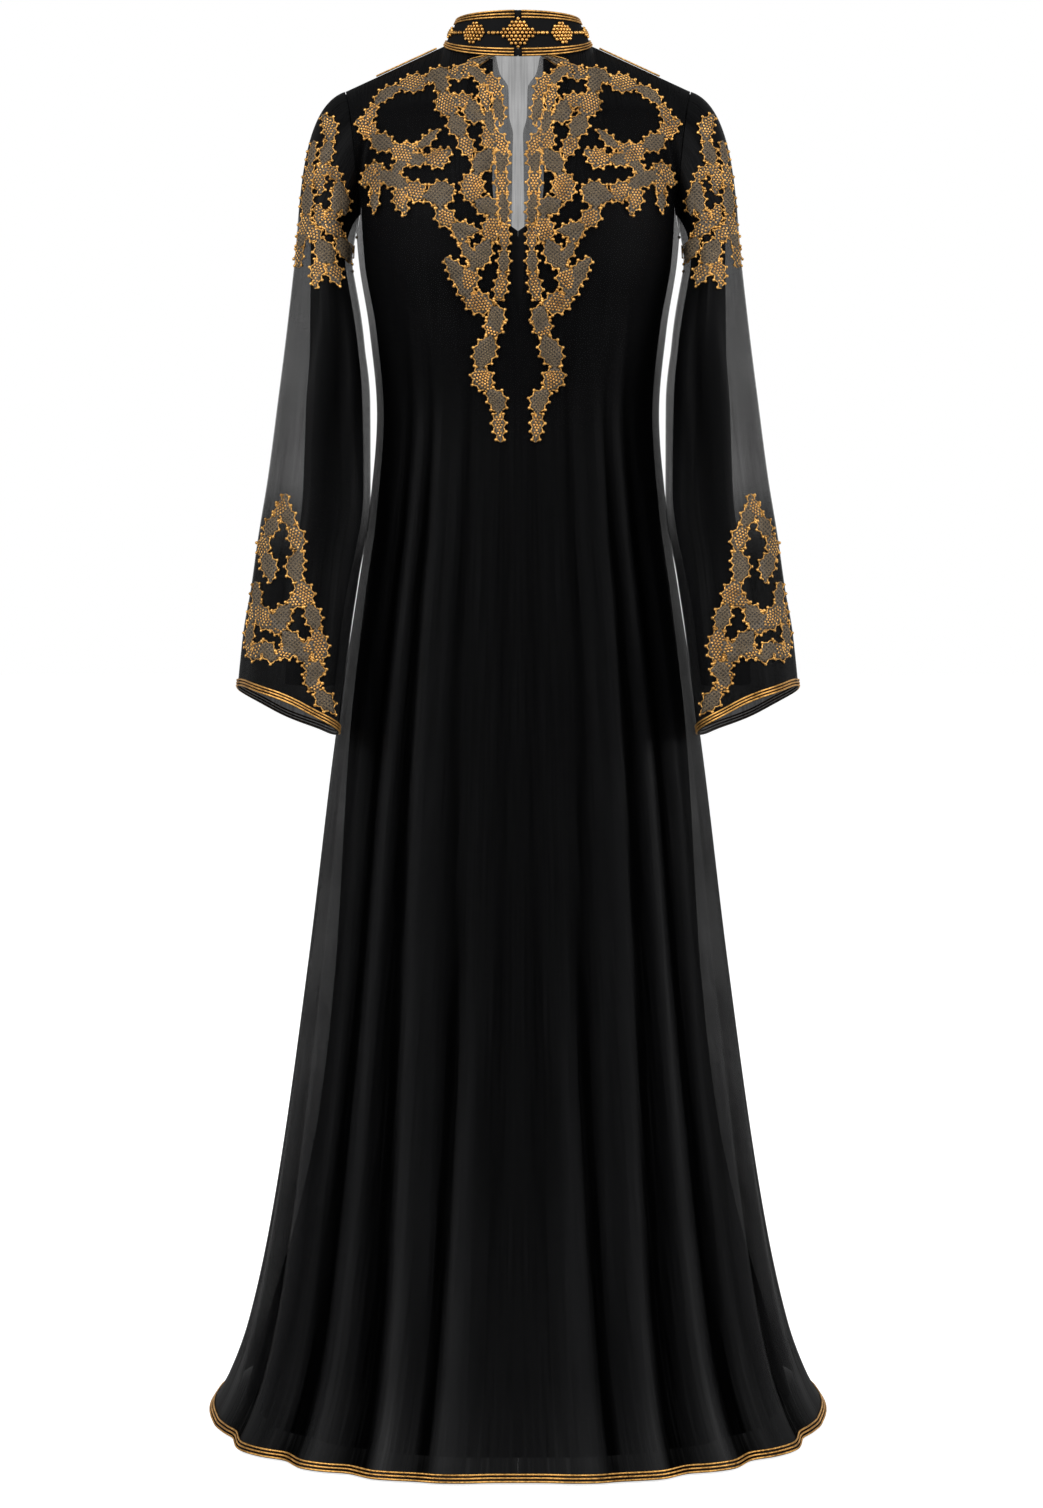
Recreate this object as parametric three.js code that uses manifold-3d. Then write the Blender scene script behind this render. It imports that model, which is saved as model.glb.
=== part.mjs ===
// A floor-length abaya in sheer black cloth over a black lining, worn with no wearer.
// Millimetres, +Z up, the front faces -Y, +X is the wearer's left.
// Heights in the tables are above the floor. The group is lowered at the end, so that the origin
// is the middle of the neck at the height of the shoulder-neck points.

import * as THREE from 'three';
import Module from 'manifold-3d';

const wasm = await Module();
wasm.setup();

// Driving dimensions
const neckHeight = 1428;
const chestHeight = 1232;
const hemHeight = 2.5;
const liningHemHeight = 20;
const clothThickness = 1.2;
const seamGap = 0.3;
const armholeGap = 0.8;
const neckHalfWidth = 77;
const neckFrontDepth = 66;
const neckBackDepth = 72;
const neckFrontHeight = 1406;
const neckSideHeight = 1427;
const neckBackHeight = 1438;
const shoulderTip = { x: 181, height: 1379 };
const liningChestHeight = 1250;
const collarTop = { half: 64, front: 62, back: 67, frontHeight: 1455, sideHeight: 1453, backHeight: 1466 };
const liningDrop = 6;
const sleeveHeadHeight = 1190;
const degree = Math.PI / 180;

// Cross sections of the outer layer: half width, depth in front of and behind the side seams,
// and fullness, the share by which the quarter between them is rounder than an ellipse.
const outerSections = [
  { height: 0, half: 323, front: 302, back: 300, fullness: 0.02 },
  { height: 30, half: 305, front: 284, back: 284, fullness: 0.02 },
  { height: 89, half: 283, front: 256, back: 258, fullness: 0.02 },
  { height: 215, half: 256, front: 212, back: 220, fullness: 0.03 },
  { height: 467, half: 220, front: 156, back: 174, fullness: 0.04 },
  { height: 698, half: 192, front: 126, back: 144, fullness: 0.05 },
  { height: 845, half: 170, front: 114, back: 126, fullness: 0.05 },
  { height: 940, half: 156, front: 107, back: 106, fullness: 0.05 },
  { height: 1040, half: 148, front: 101, back: 84, fullness: 0.05 },
  { height: 1130, half: 156, front: 112, back: 92, fullness: 0.05 },
  { height: 1200, half: 167, front: 121, back: 102, fullness: 0.05 },
  { height: 1260, half: 172, front: 121, back: 105, fullness: 0.05 },
];

// The lining hangs inside the outer layer and its skirt is cut narrower.
const liningSections = [
  { height: 0, half: 290, front: 284, back: 280, fullness: 0.02 },
  { height: 89, half: 264, front: 245, back: 246, fullness: 0.02 },
  { height: 215, half: 228, front: 203, back: 208, fullness: 0.03 },
  { height: 320, half: 207, front: 174, back: 184, fullness: 0.03 },
  { height: 467, half: 191, front: 148, back: 164, fullness: 0.04 },
  { height: 698, half: 177, front: 118, back: 134, fullness: 0.04 },
  { height: 845, half: 161, front: 107, back: 117, fullness: 0.04 },
  { height: 940, half: 148, front: 100, back: 98, fullness: 0.04 },
  { height: 1040, half: 141, front: 95, back: 77, fullness: 0.04 },
  { height: 1130, half: 149, front: 106, back: 85, fullness: 0.04 },
  { height: 1200, half: 161, front: 115, back: 96, fullness: 0.04 },
  { height: 1260, half: 165, front: 114, back: 97, fullness: 0.04 },
];

// Flutes of the skirt on each half: angle from the centre line at the hip and at the hem, how far
// the ridge stands out at the hem, the height where it starts, and the widths of its two flanks.
const frontFlutes = [
  { hip: 12, hem: 13, depth: 7, start: 560, inner: 6, outer: 4 },
  { hip: 31, hem: 24, depth: 11, start: 1150, inner: 8, outer: 4 },
  { hip: 41, hem: 38, depth: 13, start: 1210, inner: 9, outer: 4 },
  { hip: 60, hem: 54, depth: 13, start: 1000, inner: 9, outer: 5 },
];
const backFlutes = [
  { hip: 11, hem: 12, depth: 9, start: 1000, inner: 7, outer: 5 },
  { hip: 30, hem: 28, depth: 12, start: 1120, inner: 8, outer: 5 },
  { hip: 46, hem: 43, depth: 12, start: 1000, inner: 8, outer: 5 },
  { hip: 64, hem: 60, depth: 11, start: 900, inner: 8, outer: 6 },
];

// How the cloth leaves the neckline and shoulder seam (t) and reaches the chest line (b), by the
// place across a half panel: 0 at the centre, 0.36 at the side of the neck, 1 at the armhole.
const frontYoke = [
  { place: 0, tx: 0, ty: -85, tz: -150, bx: 0, by: 0, bz: -174 },
  { place: 0.36, tx: 25, ty: -135, tz: -85, bx: 0, by: 0, bz: -165 },
  { place: 0.75, tx: 5, ty: -130, tz: -70, bx: 0, by: 0, bz: -160 },
  { place: 1, tx: -25, ty: -190, tz: -70, bx: 25, by: 150, bz: -70 },
];
const backYoke = [
  { place: 0, tx: 0, ty: 80, tz: -180, bx: 0, by: -15, bz: -190 },
  { place: 0.36, tx: 25, ty: 150, tz: -85, bx: 0, by: -8, bz: -175 },
  { place: 0.75, tx: 5, ty: 140, tz: -70, bx: 0, by: 0, bz: -165 },
  { place: 1, tx: -25, ty: 185, tz: -70, bx: 25, by: -150, bz: -70 },
];
const neckPlace = 0.36;

// Half width of the slit between the two fronts, and of the round slit in the lining's front and
// the scoop in its back.
const frontSlit = [
  { height: 1140, half: 0.15 },
  { height: 1165, half: 5 },
  { height: 1225, half: 6.5 },
  { height: 1300, half: 5.5 },
  { height: 1322, half: 5 },
  { height: 1340, half: 9 },
  { height: 1372, half: 10 },
  { height: 1388, half: 19 },
  { height: 1410, half: 23 },
];
const liningFrontSlit = [
  { height: 1222, half: 0 },
  { height: 1228, half: 14 },
  { height: 1242, half: 22 },
  { height: 1270, half: 26 },
  { height: 1410, half: 26 },
];
const liningBackScoop = [
  { height: 1238, half: 0 },
  { height: 1246, half: 18 },
  { height: 1264, half: 30 },
  { height: 1300, half: 34 },
  { height: 1440, half: 34 },
];

// Sleeve sections: x of the outer and the inner edge, half depth, how far the sleeve hangs
// forward, how much further forward its inner edge lies, and how far its front leans inwards.
const outerSleeve = [
  { height: 733, outer: 289, inner: 184, depth: 88, forward: 64, skew: 26, lean: 12 },
  { height: 793, outer: 283, inner: 177, depth: 82, forward: 60, skew: 26, lean: 11 },
  { height: 837, outer: 276, inner: 171, depth: 78, forward: 55, skew: 26, lean: 9 },
  { height: 887, outer: 270, inner: 163, depth: 76, forward: 48, skew: 24, lean: 6 },
  { height: 958, outer: 260, inner: 151, depth: 76, forward: 38, skew: 24, lean: 3 },
  { height: 1055, outer: 249, inner: 152, depth: 76, forward: 26, skew: 26, lean: 0 },
  { height: 1111, outer: 243, inner: 157, depth: 75, forward: 17, skew: 26, lean: 0 },
  { height: 1190, outer: 235, inner: 172, depth: 72, forward: 4, skew: 12, lean: 0 },
];
const liningSleeve = [
  { height: 760, outer: 240, inner: 188, depth: 46, forward: 66, skew: 14, lean: 4 },
  { height: 837, outer: 236, inner: 179, depth: 50, forward: 60, skew: 14, lean: 4 },
  { height: 958, outer: 223, inner: 159, depth: 56, forward: 44, skew: 18, lean: 2 },
  { height: 1055, outer: 220, inner: 161, depth: 60, forward: 30, skew: 18, lean: 0 },
  { height: 1111, outer: 217, inner: 166, depth: 62, forward: 20, skew: 18, lean: 0 },
  { height: 1190, outer: 217, inner: 180, depth: 62, forward: 5, skew: 8, lean: 0 },
];
const cuff = { tilt: 24, lift: 8, flutes: 4, crest: 50, fluteDepth: 8, fluteStart: 930 };

// Applique ribbons on a front half: each row is a point on the ribbon's middle line, as x from the
// centre line and height, with the ribbon's half width there.
const frontRibbons = [
  [[50, 1400, 6], [60, 1390, 9], [79, 1391, 9], [102, 1384, 11], [121, 1380, 8], [143, 1368, 6], [158, 1342, 5]],
  [[165, 1342, 5], [157, 1336, 9], [143, 1321, 10], [127, 1312, 9], [113, 1300, 9]],
  [[119, 1309, 7], [102, 1311, 6], [84, 1326, 4]],
  [[112, 1299, 7], [96, 1297, 8], [81, 1298, 11], [70, 1304, 4]],
  [[157, 1280, 7], [146, 1291, 9], [135, 1282, 9], [121, 1275, 8], [107, 1267, 9], [95, 1258, 11], [74, 1263, 12]],
  [[115, 1300, 7], [124, 1288, 5], [128, 1278, 5]],
  [[145, 1282, 7], [147, 1264, 6], [147, 1249, 3]],
  [[76, 1262, 12], [78, 1244, 9], [70, 1232, 9], [57, 1223, 9], [44, 1222, 5]],
  [[59, 1224, 8], [54, 1207, 6], [46, 1192, 4]],
  [[80, 1388, 6], [74, 1360, 11], [64, 1337, 10], [56, 1318, 9], [49, 1301, 5]],
  [[70, 1358, 6], [48, 1357, 9], [45, 1343, 9], [34, 1338, 4]],
  [[51, 1394, 5], [40, 1386, 6], [35, 1366, 5], [30, 1343, 5], [27, 1326, 6], [19, 1315, 6], [15, 1302, 6]],
  [[36, 1383, 6], [27, 1378, 6], [22, 1364, 7], [20, 1347, 6], [17, 1334, 3]],
  [[16, 1304, 7], [17, 1284, 7], [16, 1262, 6], [14, 1240, 5], [14, 1222, 5], [14, 1203, 5], [15, 1180, 6], [19, 1156, 6]],
  [[30, 1324, 7], [28, 1306, 10], [39, 1287, 11], [46, 1268, 12], [42, 1252, 11], [28, 1244, 10], [26, 1226, 10],
    [33, 1205, 10], [46, 1184, 11], [51, 1168, 9]],
  [[54, 1172, 8], [51, 1155, 10], [36, 1148, 11], [24, 1142, 10], [22, 1128, 8]],
  [[22, 1134, 8], [29, 1110, 11], [36, 1093, 11], [37, 1076, 11], [29, 1060, 8], [21, 1050, 9], [20, 1032, 7], [18, 1010, 3]],
  [[71, 1192, 5], [63, 1182, 8], [57, 1167, 7]],
  [[119, 1269, 8], [119, 1254, 7], [115, 1243, 4]],
];

// The same for the sleeve cap and the cuff, with x and height as they lie on the sleeve's front.
const capRibbons = [
  [[202, 1350, 4], [196, 1340, 7], [195, 1325, 7], [199, 1307, 7], [205, 1284, 6], [204, 1268, 4]],
  [[212, 1322, 3], [215, 1300, 5], [217, 1276, 6], [218, 1250, 7], [220, 1226, 6]],
  [[203, 1293, 6], [192, 1289, 5], [185, 1277, 7], [186, 1261, 7], [190, 1245, 9], [200, 1238, 9], [206, 1250, 5]],
  [[187, 1271, 6], [181, 1260, 6], [180, 1248, 4]],
  [[218, 1231, 6], [208, 1221, 8], [199, 1205, 10], [192, 1189, 9], [186, 1174, 5]],
  [[199, 1199, 5], [205, 1184, 7], [207, 1168, 3]],
  [[199, 1239, 8], [188, 1226, 8], [182, 1214, 8], [178, 1201, 5]],
  [[220, 1229, 6], [225, 1210, 6], [226, 1192, 3]],
];
const cuffRibbons = [
  [[236, 952, 4], [239, 940, 7], [249, 925, 8], [258, 908, 8], [260, 890, 5]],
  [[239, 942, 7], [230, 926, 8], [223, 908, 8], [221, 894, 8], [225, 880, 9], [219, 862, 9], [212, 846, 9], [206, 830, 8],
    [202, 812, 8], [199, 794, 8], [203, 778, 8], [208, 766, 6]],
  [[259, 896, 5], [252, 880, 9], [250, 868, 4]],
  [[267, 862, 4], [264, 842, 8], [254, 826, 10], [243, 824, 11], [233, 838, 9], [221, 848, 7], [213, 850, 6]],
  [[244, 826, 10], [231, 810, 10], [221, 798, 10], [211, 799, 8], [204, 802, 7]],
  [[274, 800, 5], [267, 794, 8], [256, 802, 8], [246, 790, 7], [237, 794, 7], [225, 798, 7]],
  [[265, 844, 7], [271, 824, 6], [274, 804, 5]],
  [[219, 800, 8], [210, 782, 7], [200, 778, 7]],
  [[211, 773, 5], [202, 758, 8], [194, 746, 8], [188, 737, 4]],
];

// Medallions round the collar: angle from the front centre, half length along the collar and half height.
const medallions = [
  { name: 'front', angle: 0, half: 18, tall: 17 },
  { name: 'front_left', angle: 40, half: 16, tall: 14 },
  { name: 'front_right', angle: -40, half: 16, tall: 14 },
  { name: 'side_left', angle: 80, half: 14, tall: 9 },
  { name: 'side_right', angle: -80, half: 14, tall: 9 },
  { name: 'back_left', angle: 130, half: 15, tall: 10 },
  { name: 'back_right', angle: -130, half: 15, tall: 10 },
  { name: 'back', angle: 180, half: 15, tall: 10 },
];

// A smooth curve through a column of a table, with no overshoot between rows.
function smoothColumn(table, input, output) {
  const xs = table.map((row) => row[input]);
  const ys = table.map((row) => row[output]);
  const last = xs.length - 1;
  const slope = (i) => (ys[i + 1] - ys[i]) / (xs[i + 1] - xs[i]);
  const tangents = xs.map((_, i) => {
    if (i === 0) return slope(0);
    if (i === last) return slope(last - 1);
    const before = slope(i - 1);
    const after = slope(i);
    return before * after <= 0 ? 0 : (2 * before * after) / (before + after);
  });
  return (x) => {
    let i = 0;
    while (i < last - 1 && x > xs[i + 1]) i += 1;
    const span = xs[i + 1] - xs[i];
    const t = Math.min(Math.max((x - xs[i]) / span, 0), 1);
    return hermite(ys[i], ys[i + 1], tangents[i] * span, tangents[i + 1] * span, t);
  };
}

function hermite(start, end, startTangent, endTangent, t) {
  const t2 = t * t;
  const t3 = t2 * t;
  return start * (2 * t3 - 3 * t2 + 1) + end * (3 * t2 - 2 * t3)
    + startTangent * (t3 - 2 * t2 + t) + endTangent * (t3 - t2);
}

function smoothColumns(table, input) {
  const names = Object.keys(table[0]).filter((name) => name !== input);
  const columns = names.map((name) => [name, smoothColumn(table, input, name)]);
  return (x) => Object.fromEntries(columns.map(([name, column]) => [name, column(x)]));
}

const clamp01 = (t) => Math.min(Math.max(t, 0), 1);
const smoothStep = (t) => clamp01(t) ** 2 * (3 - 2 * clamp01(t));
const mix = (a, b, t) => a + (b - a) * t;

// How far the flutes stand out from the plain skirt at an angle from the centre line.
function fluteDepth(flutes, angle, height) {
  const hipHeight = 850;
  let depth = 0;
  for (const flute of flutes) {
    if (height >= flute.start) continue;
    const middle = mix(flute.hem, flute.hip, clamp01(height / hipHeight));
    const away = angle / degree - middle;
    const reach = away > 0 ? flute.outer : flute.inner;
    const growth = ((flute.start - height) / flute.start) ** 0.8;
    depth += flute.depth * growth * Math.exp(-((away / reach) ** 2));
  }
  return depth;
}

// A layer of the body: one smooth surface for the front and one for the back of a half.
function makeLayer({ sections, chest, hem, drop, follows, frontOpening, backOpening, fluteShare }) {
  const sectionAt = smoothColumns(sections, 'height');
  const sides = {
    front: { sign: -1, yokeAt: smoothColumns(frontYoke, 'place'), flutes: frontFlutes, opening: frontOpening },
    back: { sign: 1, yokeAt: smoothColumns(backYoke, 'place'), flutes: backFlutes, opening: backOpening },
  };

  function ring(side, angle, height) {
    const section = sectionAt(height);
    const depth = section[side];
    const full = 1 + section.fullness * Math.sin(2 * angle) ** 2;
    const x = section.half * Math.sin(angle) * full;
    const y = depth * Math.cos(angle) * full;
    const normal = new THREE.Vector2(x / section.half ** 2, y / depth ** 2).normalize();
    const out = fluteShare * fluteDepth(sides[side].flutes, angle, height);
    return new THREE.Vector3(x + normal.x * out, sides[side].sign * (y + normal.y * out), height);
  }

  function topEdge(side, place) {
    const back = side === 'back';
    if (place >= neckPlace) {
      const along = (place - neckPlace) / (1 - neckPlace);
      const x = mix(neckHalfWidth, shoulderTip.x - drop, along);
      return new THREE.Vector3(x, 0, mix(neckSideHeight, shoulderTip.height, along) - drop);
    }
    const turn = (place / neckPlace) * 90 * degree;
    const depth = (back ? neckBackDepth : neckFrontDepth) - drop;
    const middleHeight = back ? neckBackHeight : neckFrontHeight;
    const height = mix(middleHeight, neckSideHeight, 1 - Math.cos(turn)) - drop;
    return new THREE.Vector3(neckHalfWidth * Math.sin(turn), sides[side].sign * depth * Math.cos(turn), height);
  }

  // place 0 is the centre line and 1 the side; level 0 to 1 is the yoke, 1 to 2 runs to the hem.
  function surface(side, place, level) {
    const angle = place * 90 * degree;
    if (level >= 1) return ring(side, angle, mix(chest, hem, level - 1));
    const top = topEdge(side, place);
    const bottom = ring(side, angle, chest);
    if (follows) {
      const deepest = levelAt(follows, side, place, chest);
      const at = (share) => beneath(follows, side, place, deepest * share);
      return at(level)
        .addScaledVector(top.sub(at(0)), 1 - smoothStep(level * 3))
        .addScaledVector(bottom.sub(at(1)), smoothStep(level * 1.5 - 0.5));
    }
    const yoke = sides[side].yokeAt(place);
    return new THREE.Vector3(
      hermite(top.x, bottom.x, yoke.tx, yoke.bx, level),
      hermite(top.y, bottom.y, yoke.ty, yoke.by, level),
      hermite(top.z, bottom.z, yoke.tz, yoke.bz, level),
    );
  }

  // The place where the cloth starts beside its opening.
  function openingPlace(side, level) {
    const { opening } = sides[side];
    if (!opening || opening(surface(side, 0, level).z) <= 0) return 0;
    let [low, high] = [0, neckPlace];
    for (let round = 0; round < 16; round += 1) {
      const middle = (low + high) / 2;
      const point = surface(side, middle, level);
      if (point.x < opening(point.z)) low = middle;
      else high = middle;
    }
    return high;
  }

  // The cut panel: it starts at its opening's edge, and keeps clear of its neighbour at the seams.
  function panel(side, place, level) {
    const start = openingPlace(side, level);
    const point = surface(side, place < neckPlace ? mix(start, neckPlace, place / neckPlace) : place, level);
    const { sign } = sides[side];
    if (sign * point.y < seamGap) point.y = sign * seamGap;
    return point;
  }

  return { panel, surface };
}

// The level at which a layer's yoke comes down to a height.
function levelAt(layer, side, place, height) {
  let [low, high] = [0, 1];
  for (let round = 0; round < 24; round += 1) {
    const middle = (low + high) / 2;
    if (layer.surface(side, place, middle).z > height) low = middle;
    else high = middle;
  }
  return low;
}

// A point of a layer moved in under it.
function beneath(layer, side, place, level) {
  const step = 0.004;
  const [before, after] = [Math.max(place - step, 0), Math.min(place + step, 1)];
  const across = layer.surface(side, after, level).sub(layer.surface(side, before, level));
  const down = layer.surface(side, place, level + step).sub(layer.surface(side, place, level));
  const outward = down.cross(across).multiplyScalar(side === 'front' ? 1 : -1).normalize();
  return layer.surface(side, place, level).addScaledVector(outward, -liningDrop);
}

const outer = makeLayer({
  sections: outerSections,
  chest: chestHeight,
  hem: hemHeight,
  drop: 0,
  follows: null,
  frontOpening: smoothColumn(frontSlit, 'height', 'half'),
  backOpening: null,
  fluteShare: 1,
});
const lining = makeLayer({
  sections: liningSections,
  chest: liningChestHeight,
  hem: liningHemHeight,
  drop: liningDrop,
  follows: outer,
  frontOpening: smoothColumn(liningFrontSlit, 'height', 'half'),
  backOpening: smoothColumn(liningBackScoop, 'height', 'half'),
  fluteShare: 0.6,
});

// A sleeve hangs from the armhole of its layer. turn 0 is the outer line, 90 degrees the front.
// level 0 to 1 is the sleeve head, 1 to 2 runs to the cuff.
function makeSleeve(table, layer, flare, underarmReach) {
  const at = smoothColumns(table, 'height');
  const end = table[0].height;

  function lower(turn, along) {
    const height = mix(sleeveHeadHeight, end, along);
    const section = at(height);
    const grow = flare * clamp01((cuff.fluteStart - height) / (cuff.fluteStart - end)) ** 1.3;
    const flute = grow * cuff.fluteDepth * Math.cos(cuff.flutes * (turn - cuff.crest * degree));
    const half = (section.outer - section.inner) / 2;
    const sideways = flute * Math.abs(Math.sin(turn));
    const middle = (section.outer + section.inner) / 2;
    const x = middle + (half + sideways * 0.4) * Math.cos(turn) - section.lean * Math.sin(turn);
    const inward = (1 - Math.cos(turn)) / 2;
    const y = -section.forward - section.skew * inward - (section.depth + flute) * Math.sin(turn);
    const tilt = flare * (cuff.tilt * Math.cos(turn) + cuff.lift * Math.sin(turn)) * smoothStep(along);
    return new THREE.Vector3(x, y, height + tilt);
  }

  function armhole(turn) {
    const around = turn / Math.PI;
    const side = around <= 1 ? 'front' : 'back';
    return layer.panel(side, 1, around <= 1 ? around : 2 - around);
  }

  function surface(anyTurn, level) {
    const turn = THREE.MathUtils.euclideanModulo(anyTurn, 2 * Math.PI);
    if (level >= 1) return lower(turn, level - 1);
    const start = armhole(turn);
    const end1 = lower(turn, 0);
    const length = start.distanceTo(end1);
    const top = (1 + Math.cos(turn)) / 2;
    const leave = new THREE.Vector3(
      mix(underarmReach, 0.95, top ** 2),
      -0.15 * Math.sin(turn),
      mix(-1, -0.32, top ** 2),
    ).normalize();
    start.x += armholeGap;
    leave.multiplyScalar(length * 0.8);
    const step = 0.01;
    const arrive = lower(turn, step).sub(end1).multiplyScalar(1 / step).setLength(length * 0.9);
    return new THREE.Vector3(
      hermite(start.x, end1.x, leave.x, arrive.x, level),
      hermite(start.y, end1.y, leave.y, arrive.y, level),
      hermite(start.z, end1.z, leave.z, arrive.z, level),
    );
  }
  return surface;
}

const sleeveSurface = makeSleeve(outerSleeve, outer, 1, 0.2);
const liningSleeveSurface = makeSleeve(liningSleeve, lining, 0, 1.3);

// Collar: angle 0 is the front centre, level 0 the seam and 1 the top edge.
function collarSurface(angle, level) {
  const back = Math.cos(angle) < 0;
  const sideways = Math.sin(angle);
  const ahead = Math.cos(angle);
  const seamLift = 0.9;
  const baseMiddle = back ? neckBackHeight : neckFrontHeight;
  const topMiddle = back ? collarTop.backHeight : collarTop.frontHeight;
  const baseDepth = back ? neckBackDepth : neckFrontDepth;
  const topDepth = back ? collarTop.back : collarTop.front;
  const rise = 1 - Math.abs(ahead);
  const base = new THREE.Vector3(
    neckHalfWidth * sideways,
    -baseDepth * ahead,
    mix(baseMiddle, neckSideHeight, rise) + seamLift,
  );
  const top = new THREE.Vector3(collarTop.half * sideways, -topDepth * ahead, mix(topMiddle, collarTop.sideHeight, rise));
  return base.lerp(top, level);
}

// Points and triangles of a cloth surface, outer side up. Points at one place are one point.
class Cloth {
  constructor() {
    this.points = [];
    this.faces = [];
    this.known = new Map();
  }

  point(place) {
    const key = place.toArray().map((value) => Math.round(value * 1000)).join(' ');
    if (!this.known.has(key)) {
      this.known.set(key, this.points.length);
      this.points.push(place.clone());
    }
    return this.known.get(key);
  }

  face(a, b, c) {
    if (a !== b && b !== c && c !== a) this.faces.push([a, b, c]);
  }

  grid(columns, rows, at, flipped = false) {
    const indices = rows.map((row) => columns.map((column) => this.point(at(column, row))));
    for (let i = 0; i + 1 < rows.length; i += 1) {
      for (let j = 0; j + 1 < columns.length; j += 1) {
        const [a, b] = [indices[i][j], indices[i + 1][j]];
        const [c, d] = [indices[i + 1][j + 1], indices[i][j + 1]];
        if (flipped) {
          this.face(a, d, c);
          this.face(a, c, b);
        } else {
          this.face(a, b, c);
          this.face(a, c, d);
        }
      }
    }
    return this;
  }

  normals() {
    const normals = this.points.map(() => new THREE.Vector3());
    for (const [a, b, c] of this.faces) {
      const [p, q, r] = [this.points[a], this.points[b], this.points[c]];
      const normal = q.clone().sub(p).cross(r.clone().sub(p));
      for (const index of [a, b, c]) normals[index].add(normal);
    }
    return normals.map((normal) => normal.normalize());
  }

  // A closed wall: the surface, its copy moved inwards, and a rim along every free edge.
  // A point on a seam is moved inside the plane of that seam.
  wall(thickness) {
    const seamReach = 1;
    const inner = this.normals().map((normal, index) => {
      const point = this.points[index];
      if (Math.abs(point.x) < seamReach) normal.x = 0;
      if (Math.abs(point.y) < seamReach) normal.y = 0;
      return point.clone().addScaledVector(normal.normalize(), -thickness);
    });
    return closedSolid(this.points, inner, this.faces);
  }

  // The room that the cloth takes: from a gap above it to well below it.
  room(gap, depth) {
    const normals = this.normals();
    const moved = (distance) => this.points.map((point, i) => point.clone().addScaledVector(normals[i], distance));
    return closedSolid(moved(gap), moved(-depth), this.faces);
  }
}

function closedSolid(outerPoints, innerPoints, faces) {
  const count = outerPoints.length;
  const all = [...faces];
  const edges = new Set();
  for (const [a, b, c] of faces) {
    all.push([a + count, c + count, b + count]);
    for (const [from, to] of [[a, b], [b, c], [c, a]]) edges.add(`${from} ${to}`);
  }
  for (const edge of edges) {
    const [from, to] = edge.split(' ').map(Number);
    if (edges.has(`${to} ${from}`)) continue;
    all.push([to, from, from + count], [to, from + count, to + count]);
  }
  return geometryFrom([...outerPoints, ...innerPoints], all);
}

function geometryFrom(points, faces) {
  const geometry = new THREE.BufferGeometry();
  const positions = new Float32Array(points.flatMap((point) => point.toArray()));
  geometry.setAttribute('position', new THREE.BufferAttribute(positions, 3));
  geometry.setIndex(faces.flat());
  return geometry;
}

function mirrored(geometry) {
  const position = geometry.getAttribute('position');
  const index = Array.from(geometry.getIndex().array);
  const points = [];
  for (let i = 0; i < position.count; i += 1) {
    points.push(new THREE.Vector3(-position.getX(i), position.getY(i), position.getZ(i)));
  }
  const faces = [];
  for (let i = 0; i < index.length; i += 3) faces.push([index[i], index[i + 2], index[i + 1]]);
  return geometryFrom(points, faces);
}

// A bar with the same number of corners in every section; corners run round the direction of travel.
function bar(sections, closed) {
  const corners = sections[0].length;
  const points = sections.flat();
  const faces = [];
  const steps = closed ? sections.length : sections.length - 1;
  for (let i = 0; i < steps; i += 1) {
    const here = i * corners;
    const next = ((i + 1) % sections.length) * corners;
    for (let j = 0; j < corners; j += 1) {
      const k = (j + 1) % corners;
      faces.push([here + j, here + k, next + k], [here + j, next + k, next + j]);
    }
  }
  if (!closed) {
    const end = (sections.length - 1) * corners;
    for (let j = 1; j + 1 < corners; j += 1) {
      faces.push([0, j + 1, j], [end, end + j, end + j + 1]);
    }
  }
  const geometry = geometryFrom(points, faces);
  return volume(geometry) < 0 ? geometryFrom(points, faces.map(([a, b, c]) => [a, c, b])) : geometry;
}

function volume(geometry) {
  const position = geometry.getAttribute('position');
  const index = geometry.getIndex().array;
  const corner = (i) => new THREE.Vector3().fromBufferAttribute(position, index[i]);
  let total = 0;
  for (let i = 0; i < index.length; i += 3) {
    total += corner(i).dot(corner(i + 1).cross(corner(i + 2)));
  }
  return total / 6;
}

const solidFrom = (geometry) => new wasm.Manifold(new wasm.Mesh({
  numProp: 3,
  vertProperties: geometry.getAttribute('position').array,
  triVerts: new Uint32Array(geometry.getIndex().array),
}));

// Bars joined into one solid and trimmed to the cloth that they lie on.
function fused(geometries, room) {
  const joined = geometries.map(solidFrom).reduce((sum, solid) => sum.add(solid));
  const trimmed = joined.subtract(solidFrom(room));
  const bodies = trimmed.setTolerance(ribbon.smoothing).decompose();
  const result = bodies.sort((one, other) => other.volume() - one.volume())[0].getMesh();
  const geometry = new THREE.BufferGeometry();
  geometry.setAttribute('position', new THREE.BufferAttribute(result.vertProperties, 3));
  geometry.setIndex(Array.from(result.triVerts));
  return geometry;
}

// Outward direction of a surface given by two coordinates.
function outwardAt(surface, a, b, sense) {
  const step = 0.002;
  const point = surface(a, b);
  const along = surface(a + step, b).sub(surface(a - step, b));
  const down = surface(a, b + step).sub(surface(a, b - step));
  return { point, normal: down.cross(along).multiplyScalar(sense).normalize() };
}

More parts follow.
